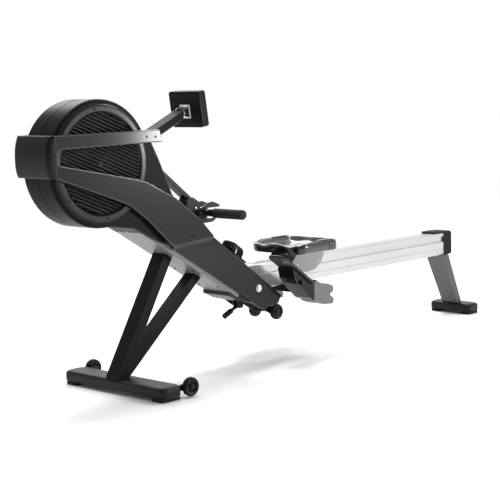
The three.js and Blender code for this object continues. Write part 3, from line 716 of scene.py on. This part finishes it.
# ---------------- base bar, rear foot and pads
# Flat oval tubes across the floor, on four rubber pads.
def capsule_bar(name, node, x0, x1, half, low, high, round_plan, round_top):
    """A flat tube along Y: plan corners and top edge rounded, bottom edge tucked in."""
    plan = rounded([(x0, -half), (x1, -half), (x1, half), (x0, half)], round_plan, 7)
    middle = (x0 + x1) / 2
    rows = [(round_top * (1 - math.cos(math.radians(a))),
             high - round_top + round_top * math.sin(math.radians(a))) for a in (90, 68, 45, 22, 0)]
    rows += [(0, low + 5), (1.5, low + 1.5), (5, low)]
    rings = []
    for inset, z in rows:
        rings.append([at(middle + math.copysign(max(abs(x - middle) - inset, 0), x - middle),
                         math.copysign(max(abs(y) - inset, 0), y), z) for x, y in plan])
    bar = bmesh.new()
    skin(bar, rings)
    make_piece(name, bar, painted_steel, body_of_node[node], "painted_steel", node)


capsule_bar("front_base_tube", "front_base_bar", -50, 50, 280, 14, 54, 24, 13)
capsule_bar("rear_foot_tube", "rear_foot_bar", 2056, 2148, 115, 12, 50, 24, 13)

# Brackets that hold the base wheels' axles: a pressed steel arm on each end of the bar.
BASE_WHEEL_X, BASE_WHEEL_Z = 92, 38
ARM = [(40, 26), (66, 26), (96, 28), (102, 38), (96, 48), (66, 48), (40, 46)]
AXLE = [(0.0, 0.254), (0.005, 0.254), (0.005, 0.2865), (0.0, 0.2865)]
AXLE_NUT = [(0.0, 0.2850), (0.0085, 0.2850), (0.0085, 0.2875), (0.0065, 0.2880), (0.0, 0.2880)]
for side, word in SIDES:
    arm = bmesh.new()
    slab(arm, rounded(ARM, 5, 4), side * 250, side * 262)
    round_edges(arm, 0.001, 2, SHARP, 0)
    for profile, segments in ((AXLE, 24), (AXLE_NUT, 6)):
        turned(arm, at(BASE_WHEEL_X, 0, BASE_WHEEL_Z), profile, segments, closed=False, side=side)
    make_piece(f"base_wheel_arm_{word}", arm, painted_steel, "frame", "painted_steel")


# ---------------- transport and folding wheels
# Moulded wheels: a rubber tyre with a rounded tread on a spoked hub.
def wheel(stem, word, centre, radius, half, bore):
    """One wheel about Y. A hub is a band under the tyre, a boss round the bore, spokes and a disc."""
    rim, body = radius * 0.74, f"{stem}_{word}_body"
    tread = [(radius - 0.0035 + 0.0035 * math.cos(math.radians(a)),
              half * 0.98 * math.sin(math.radians(a))) for a in (-75, -50, -25, -8, 8, 25, 50, 75)]
    tyre = bmesh.new()
    turned(tyre, centre, [(rim, -half * 0.86), (radius * 0.90, -half)] + tread
           + [(radius * 0.90, half), (rim, half * 0.86)], 64)
    make_piece(f"{stem}_tyre_{word}", tyre, rubber_black, body, "rubber_black", f"{stem}_{word}")
    hub = bmesh.new()
    for edge, segments in (([(rim * 0.84, 0.8), (rim + 0.0004, 0.9)], 64),
                           ([(bore, 0.96), (bore + 0.0055, 0.96), (bore + 0.0065, 0.86)], 40)):
        turned(hub, centre, [(r, -half * share) for r, share in edge]
               + [(r, half * share) for r, share in reversed(edge)], segments)
    for spoke in range(5):
        arm = bmesh.new()
        closed_bar(arm, oblong(-half * 0.5, half * 0.5, -0.0028, 0.0028), bore + 0.004, rim * 0.88)
        add_to(hub, arm, Matrix.Translation(centre) @ Matrix.Rotation(math.tau * spoke / 5 + 0.3, 4, "Y"))
    turned(hub, centre, oblong(bore + 0.002, rim * 0.9, -half * 0.12, half * 0.12), 48)
    make_piece(f"{stem}_hub_{word}", hub, wheel_plastic, body, "wheel_plastic")


for side, word in SIDES:
    wheel("base_wheel", word, at(BASE_WHEEL_X, side * 274.3, BASE_WHEEL_Z), 0.035, 0.011, 0.0051)
    wheel("fold_wheel", word, at(787, side * 60, 193), 0.032, 0.010, 0.0061)

# ---------------- rail
# Drawn and anodised box section with a roller groove and a fine line along each side, a steel
# wear strip on top and three screws in each side.
RAIL_X0, RAIL_X1 = 640, 1968
STRIP_X0, STRIP_X1 = 700, 1899
SIDE_LINE = [(38, 292, 7), (38, 318, .5), (36.6, 319.5, .3), (36.6, 321.5, .3), (38, 323, .5),
             (38, 354, 1.5), (31, 354, .8), (31, 380, .8), (38, 380, 1.5), (38, 396, 6)]
section = [(-38, 292, 7)] + SIDE_LINE + [(-y, z, radius) for y, z, radius in reversed(SIDE_LINE[1:])]
drawn = [(y / 1000, z / 1000) for y, z in
         rounded([(y, z) for y, z, _ in section], [radius for _, _, radius in section], 4)]
rail = bmesh.new()
closed_bar(rail, drawn, at(RAIL_X0, 0, 0).x, at(RAIL_X1, 0, 0).x)
make_piece("rail_extrusion", rail, anodised_rail, "rail_unit", "anodised_rail", "rail", smooth=30)
strip = bmesh.new()
closed_bar(strip, [(-0.03, 0.3958), (0.03, 0.3958), (0.0295, 0.3970), (-0.0295, 0.3970)],
           at(STRIP_X0, 0, 0).x, at(STRIP_X1, 0, 0).x)
make_piece("rail_wear_strip", strip, bright_steel, "rail_unit", "bright_steel")
for side, word in SIDES:
    spots = [(at(x, side * 38, z), (0, side, 0)) for x, z in [(796, 311), (1925, 306), (1956, 306)]]
    fasten(f"rail_screws_{word}", screw_head(0.006, 0.0022, 0.5), spots, bright_steel, "rail_unit")

# ---------------- handle
# A straight steel bar in two foam grips, each with a fine groove, a ring and a rounded cap.
GRIP_R, HANDLE_CENTRE = 0.0185, at(452, 0, 626)
bar = bmesh.new()
turned(bar, HANDLE_CENTRE, [(0.0, -0.2150), (0.014, -0.2150), (0.014, 0.2150), (0.0, 0.2150)], 40,
       closed=False)
turned(bar, HANDLE_CENTRE, [(0.014, -0.016), (0.017, -0.016), (0.018, -0.015), (0.018, 0.015),
                            (0.017, 0.016), (0.014, 0.016)], 40)
slab(bar, rounded([(424, 630), (452, 630), (452, 641.5), (424, 641.5)], 2, 3), -14, 14)
make_piece("handle_tube", bar, painted_steel, "handle", "painted_steel", "handle_bar")
grip_low, grip_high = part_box("handle_grip_left")
RING_R, GRIP_END = (grip_high.z - grip_low.z) / 2, max(abs(grip_low.y), abs(grip_high.y))
grip_axis = Vector(((grip_low.x + grip_high.x) / 2, 0, (grip_low.z + grip_high.z) / 2))
grip_profile = (
    [(0.0142, 0.060), (0.0165, 0.060), (GRIP_R - 0.0006, 0.0612), (GRIP_R, 0.063)]
    + [(GRIP_R + 0.0002 * (k % 2), 0.063 + 0.141 * k / 40) for k in range(1, 41)]
    + [(GRIP_R - 0.0012, 0.2050), (GRIP_R - 0.0018, 0.2065), (GRIP_R - 0.0012, 0.2080), (GRIP_R, 0.2092)]
    + arc((GRIP_R - 0.0045, 0.2130), 0.0045, 0, 90, 5) + [(0.006, 0.2175), (0.0, 0.2172)])
ring_profile = [(RING_R - 0.001, GRIP_END - 0.017), (RING_R + 0.0007, GRIP_END - 0.0165),
                (RING_R + 0.0007, GRIP_END - 0.0145), (RING_R - 0.001, GRIP_END - 0.014)]
for side, word in SIDES:
    grip = bmesh.new()
    turned(grip, HANDLE_CENTRE, grip_profile, 48, closed=False, side=side)
    make_piece(f"handle_foam_{word}", grip, foam_grip, "handle", "foam_grip", f"handle_grip_{word}")
    ring = bmesh.new()
    turned(ring, grip_axis, ring_profile, 40, side=side)
    make_piece(f"handle_end_ring_{word}", ring, wheel_plastic, "handle", "wheel_plastic")

# ---------------- resistance knob
# A ribbed cap on a tapered collar, square to the sloping deck.
KNOB_TILT = math.radians(35.26)
knob_place = Matrix.Translation(at(524, -42, 454)) @ Matrix.Rotation(KNOB_TILT, 4, "Y")
KNOB_RIBS, KNOB_POINTS = 14, 168
KNOB_CAP = [(0.0185, 0.025, 0), (0.0305, 0.025, 0.0016), (0.031, 0.027, 0.0026),
            (0.0306, 0.045, 0.0026), (0.0298, 0.0495, 0.0022), (0.0275, 0.0518, 0.0012),
            (0.024, 0.052, 0), (0.0225, 0.0505, 0)]
KNOB_COLLAR = [(0.0215, 0.0062, 0), (0.021, 0.008, 0), (0.0182, 0.0255, 0)]


def knob_ring(radius, height, depth):
    ring = []
    for k in range(KNOB_POINTS):
        angle = math.tau * k / KNOB_POINTS
        swell = max(-1.0, min(1.0, 1.8 * math.cos(angle * KNOB_RIBS) + 0.7))
        reach = radius - depth * (0.5 - 0.5 * swell)
        ring.append((reach * math.cos(angle), reach * math.sin(angle), height))
    return ring


knob = bmesh.new()
for rows in (KNOB_CAP, KNOB_COLLAR):
    skin(knob, [knob_ring(*row) for row in rows])
knob.transform(knob_place)
make_piece("tension_knob_cap", knob, charcoal_cover, "knob", "charcoal_cover", "tension_knob", smooth=40)

# ---------------- pull strap
# Nylon webbing that comes down the guide, under the steel roller and out to a clamp on the
# handle. The part behind the roller stays on the frame; the front part runs straight from the roller to the
# clamp.
ROLLER_X, ROLLER_Z, STRAP_HALF, STRAP_THICK = 392, 650, 12.0, 1.1


BAND_EDGE = [(1, -0.96), (1, 0.96), (0.3, 1), (-0.3, 1), (-1, 0.96), (-1, -0.96), (-0.3, -1), (0.3, -1)]


def lay_lengths(bm, axis, runs):
    """Gives the long faces of a band their place across it and along it, in metres, as a UV map."""
    bm.verts.index_update()
    lengths = bm.loops.layers.uv.new("lengths")
    for face in bm.faces:
        if len(face.verts) == 4:
            for loop in face.loops:
                loop[lengths].uv = (loop.vert.co[axis], runs[loop.vert.index // len(BAND_EDGE)])


def band(bm, path, half, thickness):
    """A flat strap along points (x, z), with its lengths as a UV map."""
    rings, runs = [], []
    for i, (x, z) in enumerate(path):
        ahead, behind = path[min(i + 1, len(path) - 1)], path[max(i - 1, 0)]
        way = Vector((ahead[0] - behind[0], ahead[1] - behind[1])).normalized()
        side_x, side_z = -way.y * thickness, way.x * thickness
        runs.append(runs[-1] + math.dist(path[i - 1], path[i]) / 1000 if i else 0.0)
        rings.append([at(x + side_x * a, half * b, z + side_z * a) for a, b in BAND_EDGE])
    skin(bm, rings)
    lay_lengths(bm, 1, runs)


WRAP_R, FREE_Z, CLAMP_X = 14.4, 635.6, 424
wrap = [(ROLLER_X + WRAP_R * math.cos(math.radians(a)), ROLLER_Z + WRAP_R * math.sin(math.radians(a)))
        for a in range(-129, -89, 5)]
tail = [(wrap[0][0] - 0.78 * d, wrap[0][1] + 0.625 * d) for d in (46, 34, 22, 10)]
still = bmesh.new()
band(still, tail + wrap, STRAP_HALF, STRAP_THICK)
make_piece("strap_in_guide", still, webbing, "frame", "webbing")
drawn_strap = bmesh.new()
band(drawn_strap, [(ROLLER_X - 1 + 4 * k, FREE_Z) for k in range(10)], STRAP_HALF, STRAP_THICK)
strap_piece = make_piece("pull_strap_webbing", drawn_strap, webbing, None, "webbing", "pull_strap")
at(ROLLER_X, 0, FREE_Z)
at(CLAMP_X, 0, FREE_Z)
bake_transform(strap_piece)

# ---------------- console
# A moulded monitor on a tilting bracket: glass window with a liquid crystal panel, three keys,
# and a back with a battery cover and four screws, held by a bright steel bracket.
CONSOLE_TILT = math.radians(-7.7)
console_place = Matrix.Translation(at(352, 0, 1017)) @ Matrix.Rotation(CONSOLE_TILT, 4, "Y")
SEGMENTS = {"0": "abcdef", "1": "bc", "2": "abged", "5": "afgcd", "8": "abcdefg"}
BARS = {"a": (0, 1, 1), "g": (0, 0, 1), "d": (0, -1, 1), "f": (-1, .5, 0), "b": (1, .5, 0),
        "e": (-1, -.5, 0), "c": (1, -.5, 0)}
READINGS = [("00 25", -44, 44, 11), ("1 250", 8, 44, 11), ("28", -40, 20, 15), ("0 52", 12, 20, 15)]


def pane(bm, x0, x1, y0, y1, z0, z1, radius):
    """A plate that faces along X, in metres there and in millimetres across, with round corners."""
    outline = rounded(oblong(y0, y1, z0, z1), radius, 4)
    closed_bar(bm, [(y / 1000, z / 1000) for y, z in outline], x0, x1)


def on_console(name, bm, material, body, slot, *nodes):
    bm.transform(console_place)
    make_piece(name, bm, material, body, slot, *nodes)


lcd_panel = finish("lcd_panel", 0.16, 0.18, 0.25, warmth=0.05, grain=400, depth=0.00001, wear=0.0)
lcd_ink = finish("lcd_ink", 0.008, 0.01, 0.4, grain=400, depth=0.00001, wear=0.0)
panel = bmesh.new()
pane(panel, 0.0564, 0.0568, -60, 60, 4, 60, 2)
on_console("console_lcd", panel, lcd_panel, "console", "screen")
digits = bmesh.new()
for text, y0, z0, tall in READINGS:
    for place_no, sign in enumerate(text):
        middle_y = y0 + place_no * tall * 0.78
        for bar_name in SEGMENTS.get(sign, ""):
            across, height, lying = BARS[bar_name]
            cy, cz = middle_y + across * tall * 0.27, z0 + height * tall * 0.5
            wide, high = (tall * 0.21, tall * 0.045) if lying else (tall * 0.045, tall * 0.21)
            pane(digits, 0.0567, 0.05695, cy - wide, cy + wide, cz - high, cz + high, 0.2)
on_console("console_digits", digits, lcd_ink, "console", "screen")
shell = bmesh.new()
pane(shell, 0.0236, 0.0256, -74, 74, -52, 66, 6)
for z in (-46, 60):
    pane(shell, 0.0222, 0.0256, -66, 66, z - 2.5, z + 2.5, 2)
pane(shell, 0.0228, 0.0256, 30, 62, -34, 40, 3)
round_edges(shell, 0.0006, 2, SHARP, 0)
on_console("console_back", shell, dark_plastic, "console", "charcoal_cover")
clasp = bmesh.new()
ear = rounded([(-10, -11), (24, -24), (24, 24), (-10, 11)], [10, 2, 2, 10], 5)
for y in (-22.5, 22.5):
    skin(clasp, [[(x / 1000, (y + w) / 1000, z / 1000) for x, z in ear] for w in (-1.5, 1.5)])
pane(clasp, 0.0215, 0.0240, -28, 28, -26, 26, 4)
round_edges(clasp, 0.0005, 2, SHARP, 0)
turned(clasp, (0, 0, 0), [(0.0, -0.0275), (0.0065, -0.0275), (0.0065, -0.0240), (0.004, -0.0240),
                          (0.004, 0.0240), (0.0065, 0.0240), (0.0065, 0.0275), (0.0, 0.0275)], 6,
       closed=False)
on_console("console_bracket", clasp, bright_steel, "console", "bright_steel")
backwards = console_place.to_3x3() @ Vector((-1, 0, 0))
fasten("console_screws", screw_head(0.0032, 0.0008, 0.55),
       [(console_place @ Vector((0.0252, y, z)), backwards) for y in (-0.078, 0.078)
        for z in (-0.055, 0.070)], rubber_black, "console")
KEY_Z, KEY_ROWS = -0.040, [(0.0070, 0.0538), (0.0070, 0.0582), (0.0062, 0.0590), (0.0040, 0.0588)]
turns = [math.tau * k / 32 for k in range(32)]
for number, y in ((1, -0.040), (2, 0), (3, 0.040)):
    key = bmesh.new()
    skin(key, [[(x, y + r * math.cos(t), KEY_Z + r * math.sin(t)) for t in turns] for r, x in KEY_ROWS])
    on_console(f"console_key_{number}", key, button_rubber, f"button_{number}", "button",
               f"console_button_{number}")

# ---------------- footrests
# Each foot board is a ribbed moulding with rounded corners on a web. A strap of webbing with a
# cam buckle goes over the toes, and a grey heel cup slides along the lower end.
TOE = at(705, 0, 440)
DOWN = Vector((0.811, 0, -0.5849))
PROUD = Vector((0.5849, 0, 0.811))
foot_place = Matrix.Translation(TOE) @ Matrix((DOWN, Vector((0, 1, 0)), PROUD)).transposed().to_4x4()
FOOT_MID, FOOT_HALF, FOOT_LONG, FOOT_THICK = 141, 49, 216, 10
WEB = [(764, 388), (880, 304), (885.5, 296), (885.5, 236), (862, 248), (842, 267), (792, 316), (776, 338)]
ARCH_STEPS, ARCH_STEP, ARCH_WIDE, ARCH_HIGH, ARCH_AT = 40, 0.0042, 45.2, 47.6, 38
ARCH_EDGE = [(-1, 0.9), (-0.9, 1.3), (0.9, 1.3), (1, 0.9), (1, -0.9), (0.9, -1.3), (-0.9, -1.3), (-1, -0.9)]
BUCKLE = [(0.020, 0.056, 0.017, 0.021), (0.020, 0.056, 0.035, 0.039), (0.018, 0.022, 0.017, 0.039),
          (0.054, 0.058, 0.017, 0.039), (0.024, 0.052, 0.024, 0.033)]
SIDE_KNOB = [(0.0, 0.1790), (0.0050, 0.1790), (0.0050, 0.1810), (0.0088, 0.1815), (0.0095, 0.1825),
             (0.0095, 0.1880), (0.0080, 0.1895), (0.0, 0.1900)]


def rib_row(name, shape, count, step, place, material, body):
    """Like ribs in a row along X of their place, for treads and grips."""
    row = [((step * k, 0, 0), (0, 0, 1)) for k in range(count)]
    fasten(name, shape, row, material, body).data.transform(place)


for side, word in SIDES:
    board = bmesh.new()
    plan = rounded([(1, side * (FOOT_MID - FOOT_HALF)), (FOOT_LONG, side * (FOOT_MID - FOOT_HALF)),
                    (FOOT_LONG, side * (FOOT_MID + FOOT_HALF)), (1, side * (FOOT_MID + FOOT_HALF))],
                   [24, 8, 8, 24], 6)
    skin(board, [[(s / 1000, y / 1000, n / 1000) for s, y in plan] for n in (-FOOT_THICK, 0)])
    round_edges(board, 0.0025, 3, FOLDED, 0)
    board.transform(foot_place)
    web = bmesh.new()
    slab(web, rounded(WEB, 5, 3), side * 92, side * 178)
    round_edges(web, 0.0015, 2, SHARP, 0)
    add_to(board, web)
    make_piece(f"foot_board_{word}", board, charcoal_cover, "rail_unit", "charcoal_cover",
               f"foot_plate_{word}")
    tread, middle = bmesh.new(), side * FOOT_MID / 1000
    closed_bar(tread, [(middle - 0.038, -0.0004), (middle + 0.038, -0.0004), (middle + 0.037, 0.0016),
                       (middle - 0.037, 0.0016)], -0.0018, 0.0018)
    rib_row(f"foot_tread_{word}", tread, 15, 0.012, foot_place @ Matrix.Translation((0.018, 0, 0)),
            rubber_black, "rail_unit")
    cup = merged_copy(f"heel_cup_{word}")
    round_edges(cup, 0.0016, 3, math.radians(24))
    make_piece(f"heel_cup_body_{word}", cup, heel_grey, f"heel_{word}", "heel_grey", f"heel_cup_{word}",
               smooth=40)
    rings = []
    for k in range(ARCH_STEPS + 1):
        turn = math.pi * k / ARCH_STEPS
        out = Vector((math.cos(turn), math.sin(turn)))
        spot = Vector((FOOT_MID + ARCH_WIDE * out.x, 0.8 + ARCH_HIGH * abs(out.y) ** 0.8))
        wide = 19 + 5.0 * math.sin(turn)
        rings.append([((ARCH_AT + w * wide) / 1000, side * (spot.x + out.x * t) / 1000,
                       (spot.y + out.y * t) / 1000) for w, t in ARCH_EDGE])
    strap = bmesh.new()
    skin(strap, rings)
    lay_lengths(strap, 0, [ARCH_STEP * k for k in range(ARCH_STEPS + 1)])
    strap.transform(foot_place)
    make_piece(f"toe_strap_webbing_{word}", strap, webbing, "rail_unit", "webbing", f"toe_strap_{word}")
    buckle, middle = bmesh.new(), side * (FOOT_MID + 45.5) / 1000
    for s0, s1, n0, n1 in BUCKLE:
        closed_bar(buckle, oblong(middle - 0.0032, middle + 0.0032, n0, n1), s0, s1)
    round_edges(buckle, 0.0007, 2, SHARP, 0)
    buckle.transform(foot_place)
    make_piece(f"toe_buckle_{word}", buckle, wheel_plastic, "rail_unit", "wheel_plastic")
    knob = bmesh.new()
    turned(knob, at(812, 0, 318), SIDE_KNOB, 28, closed=False, side=side)
    make_piece(f"footrest_knob_{word}", knob, wheel_plastic, "rail_unit", "wheel_plastic")

fasten("footrest_bolts", screw_head(0.006, 0.004, 0.55),
       [(at(862, side * 89.2, 278), (0, side, 0)) for side, _ in SIDES],
       bright_steel, "rail_unit")

# ---------------- seat
# A moulded, self-skinned foam saddle: two shallow hollows behind a waved front edge, a raised
# rim at the back and sides with gripping ribs. Its carriage is bolted from both sides.
pad_low, pad_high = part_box("seat_pad")
SEAT_BOTTOM, SEAT_TOP = pad_low.z, pad_high.z
SEAT_FRONT, SEAT_REAR, SEAT_HALF = pad_low.x, pad_high.x, pad_high.y
SKIN = 0.0015
VOXEL = 0.004


def ease(t):
    t = max(0.0, min(1.0, t))
    return t * t * (3 - 2 * t)


def seat_height(x, y):
    """The height of the top of the saddle, in metres."""
    front = ease(1 - (x - SEAT_FRONT) / 0.065)
    wave = SEAT_TOP - 0.0105 + 0.0055 * math.cos(math.pi * y / 0.070)
    hollow = math.exp(-((abs(y) - 0.062) / 0.045) ** 2)
    basin = SEAT_TOP - 0.024 - 0.005 * hollow
    top = basin + (wave - basin) * front
    rim_side = ease(1 - (SEAT_HALF - abs(y) - 0.012) / 0.026)
    rim_back = ease(1 - (SEAT_REAR - x - 0.014) / 0.030)
    rim = SEAT_TOP - 0.001 - 0.007 * front
    return top + (rim - top) * max(rim_side, rim_back)


def saddle_blank():
    """The saddle's outline as stacked rings with a rounded top edge and a tucked-in bottom edge."""
    rows = [(0.010, SEAT_BOTTOM + 0.0005), (0.003, SEAT_BOTTOM + 0.003), (0.0, SEAT_BOTTOM + 0.010),
            (0.0005, SEAT_TOP - 0.014), (0.003, SEAT_TOP - 0.006), (0.008, SEAT_TOP - 0.002),
            (0.014, SEAT_TOP - 0.001)]
    rings = []
    for inset, z in rows:
        edge = inset + SKIN
        plan = rounded(oblong(SEAT_FRONT + edge, SEAT_REAR - edge, -SEAT_HALF + edge, SEAT_HALF - edge),
                       max(0.044 - inset, 0.03), 8)
        rings.append([(x, y, z) for x, y in plan])
    blank = bmesh.new()
    skin(blank, rings)
    return blank


def applied(obj):
    """The object's mesh with its modifiers worked in."""
    bpy.context.view_layer.update()
    mesh = bpy.data.meshes.new_from_object(obj.evaluated_get(bpy.context.evaluated_depsgraph_get()))
    obj.modifiers.clear()
    obj.data = mesh


saddle = template("seat_cushion", saddle_blank())
remesh = saddle.modifiers.new("even", "REMESH")
remesh.mode = "VOXEL"
remesh.voxel_size = VOXEL
applied(saddle)
for vertex in saddle.data.vertices:
    share = (vertex.co.z - SEAT_BOTTOM) / (SEAT_TOP - SEAT_BOTTOM)
    vertex.co.z = SEAT_BOTTOM + share * (seat_height(vertex.co.x, vertex.co.y) - SEAT_BOTTOM)

SWELL_CAP, FOAM_PRESSURE, FOAM_FRAMES = 0.0012, 4, 12
before = [vertex.co.copy() for vertex in saddle.data.vertices]
foam = saddle.modifiers.new("foam", "CLOTH")
foam.settings.use_pressure = True
foam.settings.uniform_pressure_force = FOAM_PRESSURE
foam.settings.effector_weights.gravity = 0
for number in range(1, FOAM_FRAMES + 1):
    bpy.context.scene.frame_set(number)
applied(saddle)
bpy.context.scene.frame_set(1)
for vertex, start in zip(saddle.data.vertices, before):
    move = vertex.co - start
    vertex.co = start + (move if move.length < SWELL_CAP else move * SWELL_CAP / move.length)

smooth = saddle.modifiers.new("soften", "SMOOTH")
smooth.factor, smooth.iterations = 0.5, 4
finer = saddle.modifiers.new("finer", "SUBSURF")
finer.levels = finer.render_levels = 1
applied(saddle)
GROOVES = [SEAT_REAR - 0.078, SEAT_REAR - 0.062, SEAT_REAR - 0.046]
for vertex in saddle.data.vertices:
    if abs(vertex.co.y) > SEAT_HALF - 0.012 and vertex.co.z < SEAT_TOP - 0.008:
        dent = sum(math.exp(-((vertex.co.x - spot) / 0.0028) ** 2) for spot in GROOVES)
        vertex.co.y -= math.copysign(0.0034 * min(dent, 1.0), vertex.co.y)
saddle.data.materials.clear()
saddle.data.materials.append(seat_skin)
for face in saddle.data.polygons:
    face.use_smooth = True
saddle.data.name = "seat_cushion"
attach(saddle, "seat")
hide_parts("seat_pad")

crown = [(0.004 * math.cos(math.radians(a)), 0.00297 * math.sin(math.radians(a)))
         for a in range(0, 181, 20)]
RIB_SHAPE = [(-0.010, 0.35), (-0.0085, 0.85), (-0.006, 1), (0.006, 1), (0.0085, 0.85), (0.010, 0.35)]
for side, word in SIDES:
    rib = bmesh.new()
    skin(rib, [[(x * squeeze, y, z * squeeze) for x, z in crown] for y, squeeze in RIB_SHAPE])
    rib_row(f"seat_ribs_{word}", rib, 7, 0.0125,
            Matrix.Translation((SEAT_REAR - 0.128, side * (SEAT_HALF - 0.0165), SEAT_TOP - 0.0026)),
            seat_skin, "seat")
    fasten(f"carriage_bolts_{word}", screw_head(0.0055, 0.0028, 0.5),
           [(at(x, side * 46, 367), (0, side, 0)) for x in (935, 1065)], bright_steel, "seat")

# ---------------- beam and deck fasteners
# Small screws close the beam's underside, the fold bolt has a washer on each side, and below it
# on each fork plate a thin dark disc stands for a hole: its darkness is painted shade.
UNDER_TOP, UNDER_FALL, UNDER_FACES = 625.06, 0.6202, Vector((-0.5271, 0, -0.8498))
WASHER = [(0.0075, 0.0810), (0.0150, 0.0810), (0.0150, 0.0822), (0.0145, 0.0827), (0.0075, 0.0827)]
spots = [(at(x, side * 52, UNDER_TOP - UNDER_FALL * x), UNDER_FACES) for side, _ in SIDES
         for x in (338, 464, 528)]
fasten("beam_screws", screw_head(0.005, 0.0016, 0.55), spots, rubber_black, "frame")
for side, word in SIDES:
    washer = bmesh.new()
    turned(washer, at(665, 0, 307), WASHER, 40, side=side)
    make_piece(f"fold_washer_{word}", washer, bright_steel, "frame", "bright_steel")
    # A thin dark disc whose darkness is painted shade for a hole below the fold bolt.
    fasten(f"plate_hole_{word}", screw_head(0.0055, 0.0006, 0.8),
           [(at(662, side * 81.2, 284), (0, side, 0))], rubber_black, "frame")
